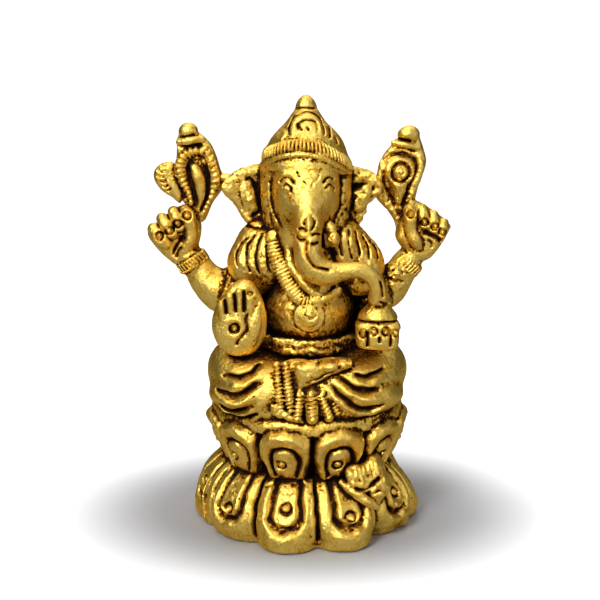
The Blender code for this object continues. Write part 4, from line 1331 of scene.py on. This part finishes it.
# The nodes that take the name of what sculpts them, and then the pairs, right and left.
SINGLES = (
    lotus_skirt, lotus_seat, mouse, torso, belt, sash_tails, right_foot, right_shawl, left_shawl, garland,
    pendant, left_tusk, head, trunk, crown, crown_band, crown_finial, rear_right_arm, rear_left_arm,
    right_emblem, left_emblem, blessing_palm, offering_hand, sweet_bowl,
)
PAIRS = (
    (leg, "right_leg", "left_leg"),
    (ear, "right_ear", "left_ear"),
    (bangle, "right_bangle", "left_bangle"),
    (fore_arm, "blessing_arm", "offering_arm"),
)
# How much darker a whole node is than its form makes it, or brighter where negative.
TARNISH = {
    "torso": -0.08,
    "belt": 0.14,
    "right_shawl": 0.07,
    "left_shawl": 0.08,
    "garland": 0.08,
    "trunk": -0.03,
    "right_ear": 0.07,
    "left_ear": 0.07,
    "right_emblem": 0.04,
    "left_emblem": 0.04,
    "blessing_palm": -0.04,
}


def sculpt_node(node, sculptor, *side):
    """Sculpts one node. Each finished clay is the next owner on the lattice."""
    clay = Clay(node, TARNISH.get(node, 0.0))
    sculptor(clay, *side)
    clay.keep()


def sculpt():
    for sculptor in SINGLES:
        sculpt_node(sculptor.__name__, sculptor)
    for side in (-1, 1):
        for sculptor, right_node, left_node in PAIRS:
            sculpt_node(left_node if side > 0 else right_node, sculptor, side)


# The aged brass.


class Nodes:
    """A node tree that is written as nested calls."""

    def __init__(self, tree):
        self.tree = tree
        tree.nodes.clear()

    def add(self, kind, settings=(), **inputs):
        """Adds a node. An input is named, or i0, i1 and so on, and is a value or an output socket."""
        node = self.tree.nodes.new(kind)
        for name, value in dict(settings).items():
            setattr(node, name, value)
        for name, value in inputs.items():
            numbered = name[0] == "i" and name[1:].isdigit()
            socket = node.inputs[int(name[1:]) if numbered else name.replace("_", " ")]
            if isinstance(value, bpy.types.NodeSocket):
                self.tree.links.new(value, socket)
            else:
                socket.default_value = value
        return node

    def math(self, operation, *values):
        inputs = {f"i{index}": value for index, value in enumerate(values)}
        return self.add("ShaderNodeMath", {"operation": operation}, **inputs).outputs[0]

    def swing(self, value, weight, total=0.0):
        """total, plus weight times how far value lies above one half."""
        return self.math("MULTIPLY_ADD", self.math("SUBTRACT", value, 0.5), weight, total)

    def spread(self, value, low, high, to_low=0.0, to_high=1.0):
        """Maps low to high onto to_low to to_high, smoothly and clamped."""
        node = self.add(
            "ShaderNodeMapRange",
            {"interpolation_type": "SMOOTHSTEP"},
            Value=value, From_Min=low, From_Max=high, To_Min=to_low, To_Max=to_high,
        )
        return node.outputs[0]

    def noise(self, place, scale, detail=3.0, roughness=0.55):
        node = self.add("ShaderNodeTexNoise", Vector=place, Scale=scale, Detail=detail, Roughness=roughness)
        return node.outputs["Fac"]

    def attribute(self, name):
        return self.add("ShaderNodeAttribute", {"attribute_name": name}).outputs["Fac"]

    def ramp(self, value, stops):
        node = self.add("ShaderNodeValToRGB", Fac=value)
        elements = node.color_ramp.elements
        while len(elements) < len(stops):
            elements.new(0.5)
        for element, (place, colour) in zip(elements, stops):
            element.position = place
            element.color = (*colour, 1)
        return node.outputs["Color"]


# Hollowness that darkens the brass: the fine measures put patina in the grooves, the coarse ones paint
# occlusion shade where the parts close in.
COARSE_RECESSES = (("broad_recess", 1.3), ("wide_recess", 1.5))
FINE_RECESSES = (("fine_recess", 3.0), ("middle_recess", 2.0))
# From rubbed brass through brown patina to the near black that is painted shade in deep hollows.
PATINA_AND_SHADE = (
    (0.0, (0.90, 0.62, 0.135)),
    (0.12, (0.70, 0.43, 0.036)),
    (0.28, (0.41, 0.180, 0.007)),
    (0.44, (0.185, 0.054, 0.004)),
    (0.68, (0.050, 0.016, 0.006)),
    (0.85, (0.012, 0.006, 0.004)),
)


def patina_depth(nodes, place, shade, grain):
    """How much patina and painted shade lies at a point: 0 where the brass is rubbed bare, 1 in a deep
    hollow.
    """
    blotch = nodes.noise(place, 320, 3)
    speckle = nodes.noise(place, 800, 2)
    depth = 0.0
    # Painted occlusion shade from the coarse hollowness, then patina from the fine.
    for measure, weight in COARSE_RECESSES:
        depth = nodes.swing(nodes.attribute(measure), weight, depth)
    depth = nodes.math("MAXIMUM", depth, -0.12)
    for measure, weight in FINE_RECESSES:
        depth = nodes.swing(nodes.attribute(measure), weight, depth)
    depth = nodes.math("ADD", depth, nodes.math("ADD", nodes.attribute("tarnish"), shade))
    depth = nodes.swing(nodes.noise(place, 100, 2), 0.3, depth)
    depth = nodes.math("MAXIMUM", depth, 0.0)
    sheltered = nodes.spread(depth, 0.0, 0.22, 0.28, 1.3)
    grit = nodes.swing(blotch, 0.9, nodes.swing(speckle, 1.2, nodes.swing(grain, 2.2)))
    return nodes.math("MULTIPLY_ADD", grit, sheltered, depth)


def casting_pits(nodes, place):
    """1 in the small round pits that sand leaves, which are rare, and 0 elsewhere."""
    cells = nodes.add("ShaderNodeTexVoronoi", {"feature": "F1"}, Vector=place, Scale=620.0, Randomness=1.0)
    round_pit = nodes.spread(cells.outputs["Distance"], 0.13, 0.05)
    rare = nodes.spread(nodes.noise(place, 330, 1), 0.50, 0.58)
    return nodes.math("MULTIPLY", round_pit, rare)


def brass(name, shade):
    """Polished where it is handled and dark in its hollows, with patina and painted shade. shade moves all of
    it darker.
    """
    material = bpy.data.materials.new(name)
    material.use_nodes = True
    nodes = Nodes(material.node_tree)
    place = nodes.add("ShaderNodeTexCoord").outputs["Object"]
    grain = nodes.noise(place, 2100, 3, 0.7)
    pit = casting_pits(nodes, place)
    depth = nodes.math("MULTIPLY_ADD", pit, 0.8, patina_depth(nodes, place, shade, grain))
    height = nodes.math("ADD", nodes.math("MULTIPLY", grain, 0.8), nodes.math("MULTIPLY", pit, -1.4))
    height = nodes.math("ADD", height, nodes.noise(place, 650, 2))
    bump = nodes.add("ShaderNodeBump", Height=height, Strength=0.8, Distance=0.00026)
    shader = nodes.add(
        "ShaderNodeBsdfPrincipled",
        Base_Color=nodes.ramp(depth, PATINA_AND_SHADE),
        Metallic=nodes.spread(depth, 0.75, 0.42, 0.8, 1.0),
        Roughness=nodes.swing(grain, 0.25, nodes.spread(depth, 0.0, 0.55, 0.34, 0.70)),
        Normal=bump.outputs["Normal"],
        Specular_Tint=(0.95, 0.68, 0.34, 1.0),
    )
    nodes.add("ShaderNodeOutputMaterial", Surface=shader.outputs["BSDF"])
    return material


# The room: a white sweep with a painted shadow round the base, soft lamps and the camera.


def paper():
    """Grey paper that a painted glow brightens to white away from the base, for camera rays only, so that a
    painted shadow stays round the base beside the lamps' real one.
    """
    material = bpy.data.materials.new("paper")
    material.use_nodes = True
    nodes = Nodes(material.node_tree)
    place = nodes.add("ShaderNodeTexCoord").outputs["Object"]
    tone = nodes.ramp(nodes.noise(place, 30, 3), [(0.3, (0.30, 0.30, 0.31)), (0.7, (0.32, 0.32, 0.33))])
    shader = nodes.add("ShaderNodeBsdfPrincipled", Base_Color=tone, Roughness=0.75)
    squeezed = nodes.add("ShaderNodeVectorMath", {"operation": "MULTIPLY"}, i0=place, i1=(1.0, 1.3, 0.0))
    far = nodes.add("ShaderNodeVectorMath", {"operation": "LENGTH"}, i0=squeezed.outputs["Vector"])
    seen = nodes.add("ShaderNodeLightPath").outputs["Is Camera Ray"]
    # Painted glow: none near the base and full white further off, over an ellipse, which leaves a painted
    # shadow round the base.
    lift = nodes.math("MULTIPLY", nodes.spread(far.outputs["Value"], 0.024, 0.057), seen)
    painted_glow = nodes.add("ShaderNodeEmission", Color=(1, 1, 1, 1), Strength=lift)
    both = nodes.add("ShaderNodeAddShader", i0=shader.outputs["BSDF"], i1=painted_glow.outputs["Emission"])
    nodes.add("ShaderNodeOutputMaterial", Surface=both.outputs["Shader"])
    return material


def room():
    """A sheet of paper that lies under the statuette and curves up behind it."""
    front, depth, rise, bend, half_width = -0.5, 0.55, 0.9, 0.16, 0.9
    curve = [
        (depth + bend * math.sin(a), bend - bend * math.cos(a))
        for a in np.linspace(0, math.pi / 2, 13)
    ]
    profile = [(front, 0.0), *curve, (depth + bend, rise)]
    floor = CAD_BOX[0][2] - 0.0001
    points = [(x, y, floor + z) for y, z in profile for x in (-half_width, half_width)]
    faces = [(2 * i, 2 * i + 1, 2 * i + 3, 2 * i + 2) for i in range(len(profile) - 1)]
    mesh = bpy.data.meshes.new("paper_sweep")
    mesh.from_pydata(points, [], faces)
    mesh.shade_smooth()
    mesh.materials.append(paper())
    sweep = bpy.data.objects.new("paper_sweep", mesh)
    bpy.context.scene.collection.objects.link(sweep)


SKY = (
    (0.0, (0.10, 0.06, 0.03)),
    (0.35, (0.28, 0.23, 0.17)),
    (0.75, (0.92, 0.90, 0.86)),
    (1.0, (1.0, 1.0, 1.0)),
)


def world():
    """Dim light that is warm from below and white from above. The camera sees plain white."""
    made = bpy.data.worlds.new("studio")
    made.use_nodes = True
    bpy.context.scene.world = made
    nodes = Nodes(made.node_tree)
    ray = nodes.add("ShaderNodeLightPath").outputs["Is Camera Ray"]
    direction = nodes.add("ShaderNodeTexCoord").outputs["Generated"]
    up = nodes.add("ShaderNodeSeparateXYZ", Vector=direction).outputs["Z"]
    gradient = nodes.ramp(nodes.spread(up, -0.2, 1.0), SKY)
    soft = nodes.add("ShaderNodeBackground", Color=gradient, Strength=0.30)
    white = nodes.add("ShaderNodeBackground", Color=(1, 1, 1, 1), Strength=1.0)
    mixed = nodes.add("ShaderNodeMixShader", i0=ray, i1=soft.outputs[0], i2=white.outputs[0])
    nodes.add("ShaderNodeOutputWorld", Surface=mixed.outputs[0])


# Each soft lamp: its name, place (m), width and height (m), and power (W).
LAMPS = (
    ("key", (-0.18, -0.32, 0.32), (0.13, 0.13), 1.75),
    ("front", (0.02, -0.46, 0.16), (0.2, 0.2), 0.3),
    ("fill", (0.34, -0.24, 0.16), (0.22, 0.26), 0.26),
    ("top", (0.0, 0.05, 0.45), (0.4, 0.4), 0.9),
    ("rim", (0.0, 0.30, 0.30), (0.4, 0.2), 0.3),
)
LAMP_AIM = Vector((0, 0, 0.035))


def lights():
    for name, place, size, power in LAMPS:
        light = bpy.data.lights.new(name, "AREA")
        light.shape = "RECTANGLE"
        light.size, light.size_y = size
        light.energy = power
        made = bpy.data.objects.new(name, light)
        made.location = place
        made.rotation_euler = (LAMP_AIM - Vector(place)).to_track_quat("-Z", "Y").to_euler()
        bpy.context.scene.collection.objects.link(made)


EYE = Vector((-1.06, -200, 81)) * MM
EYE_AIM = Vector((-1.06, 0, 39.5)) * MM


def camera():
    data = bpy.data.cameras.new("camera")
    data.lens = 68.1
    data.sensor_width = 36
    data.clip_start = 0.01
    made = bpy.data.objects.new("camera", data)
    made.location = EYE
    made.rotation_euler = (EYE_AIM - EYE).to_track_quat("-Z", "Y").to_euler()
    bpy.context.scene.collection.objects.link(made)
    bpy.context.scene.camera = made


# Put it all together.

sculpt()
materials = {"worn_brass": brass("worn_brass", 0.18), "dark_brass": brass("dark_brass", 0.24)}
cast_all(lambda node: materials[slot_of[node]])
room()
world()
lights()
camera()
bpy.context.scene.view_settings.view_transform = "Standard"
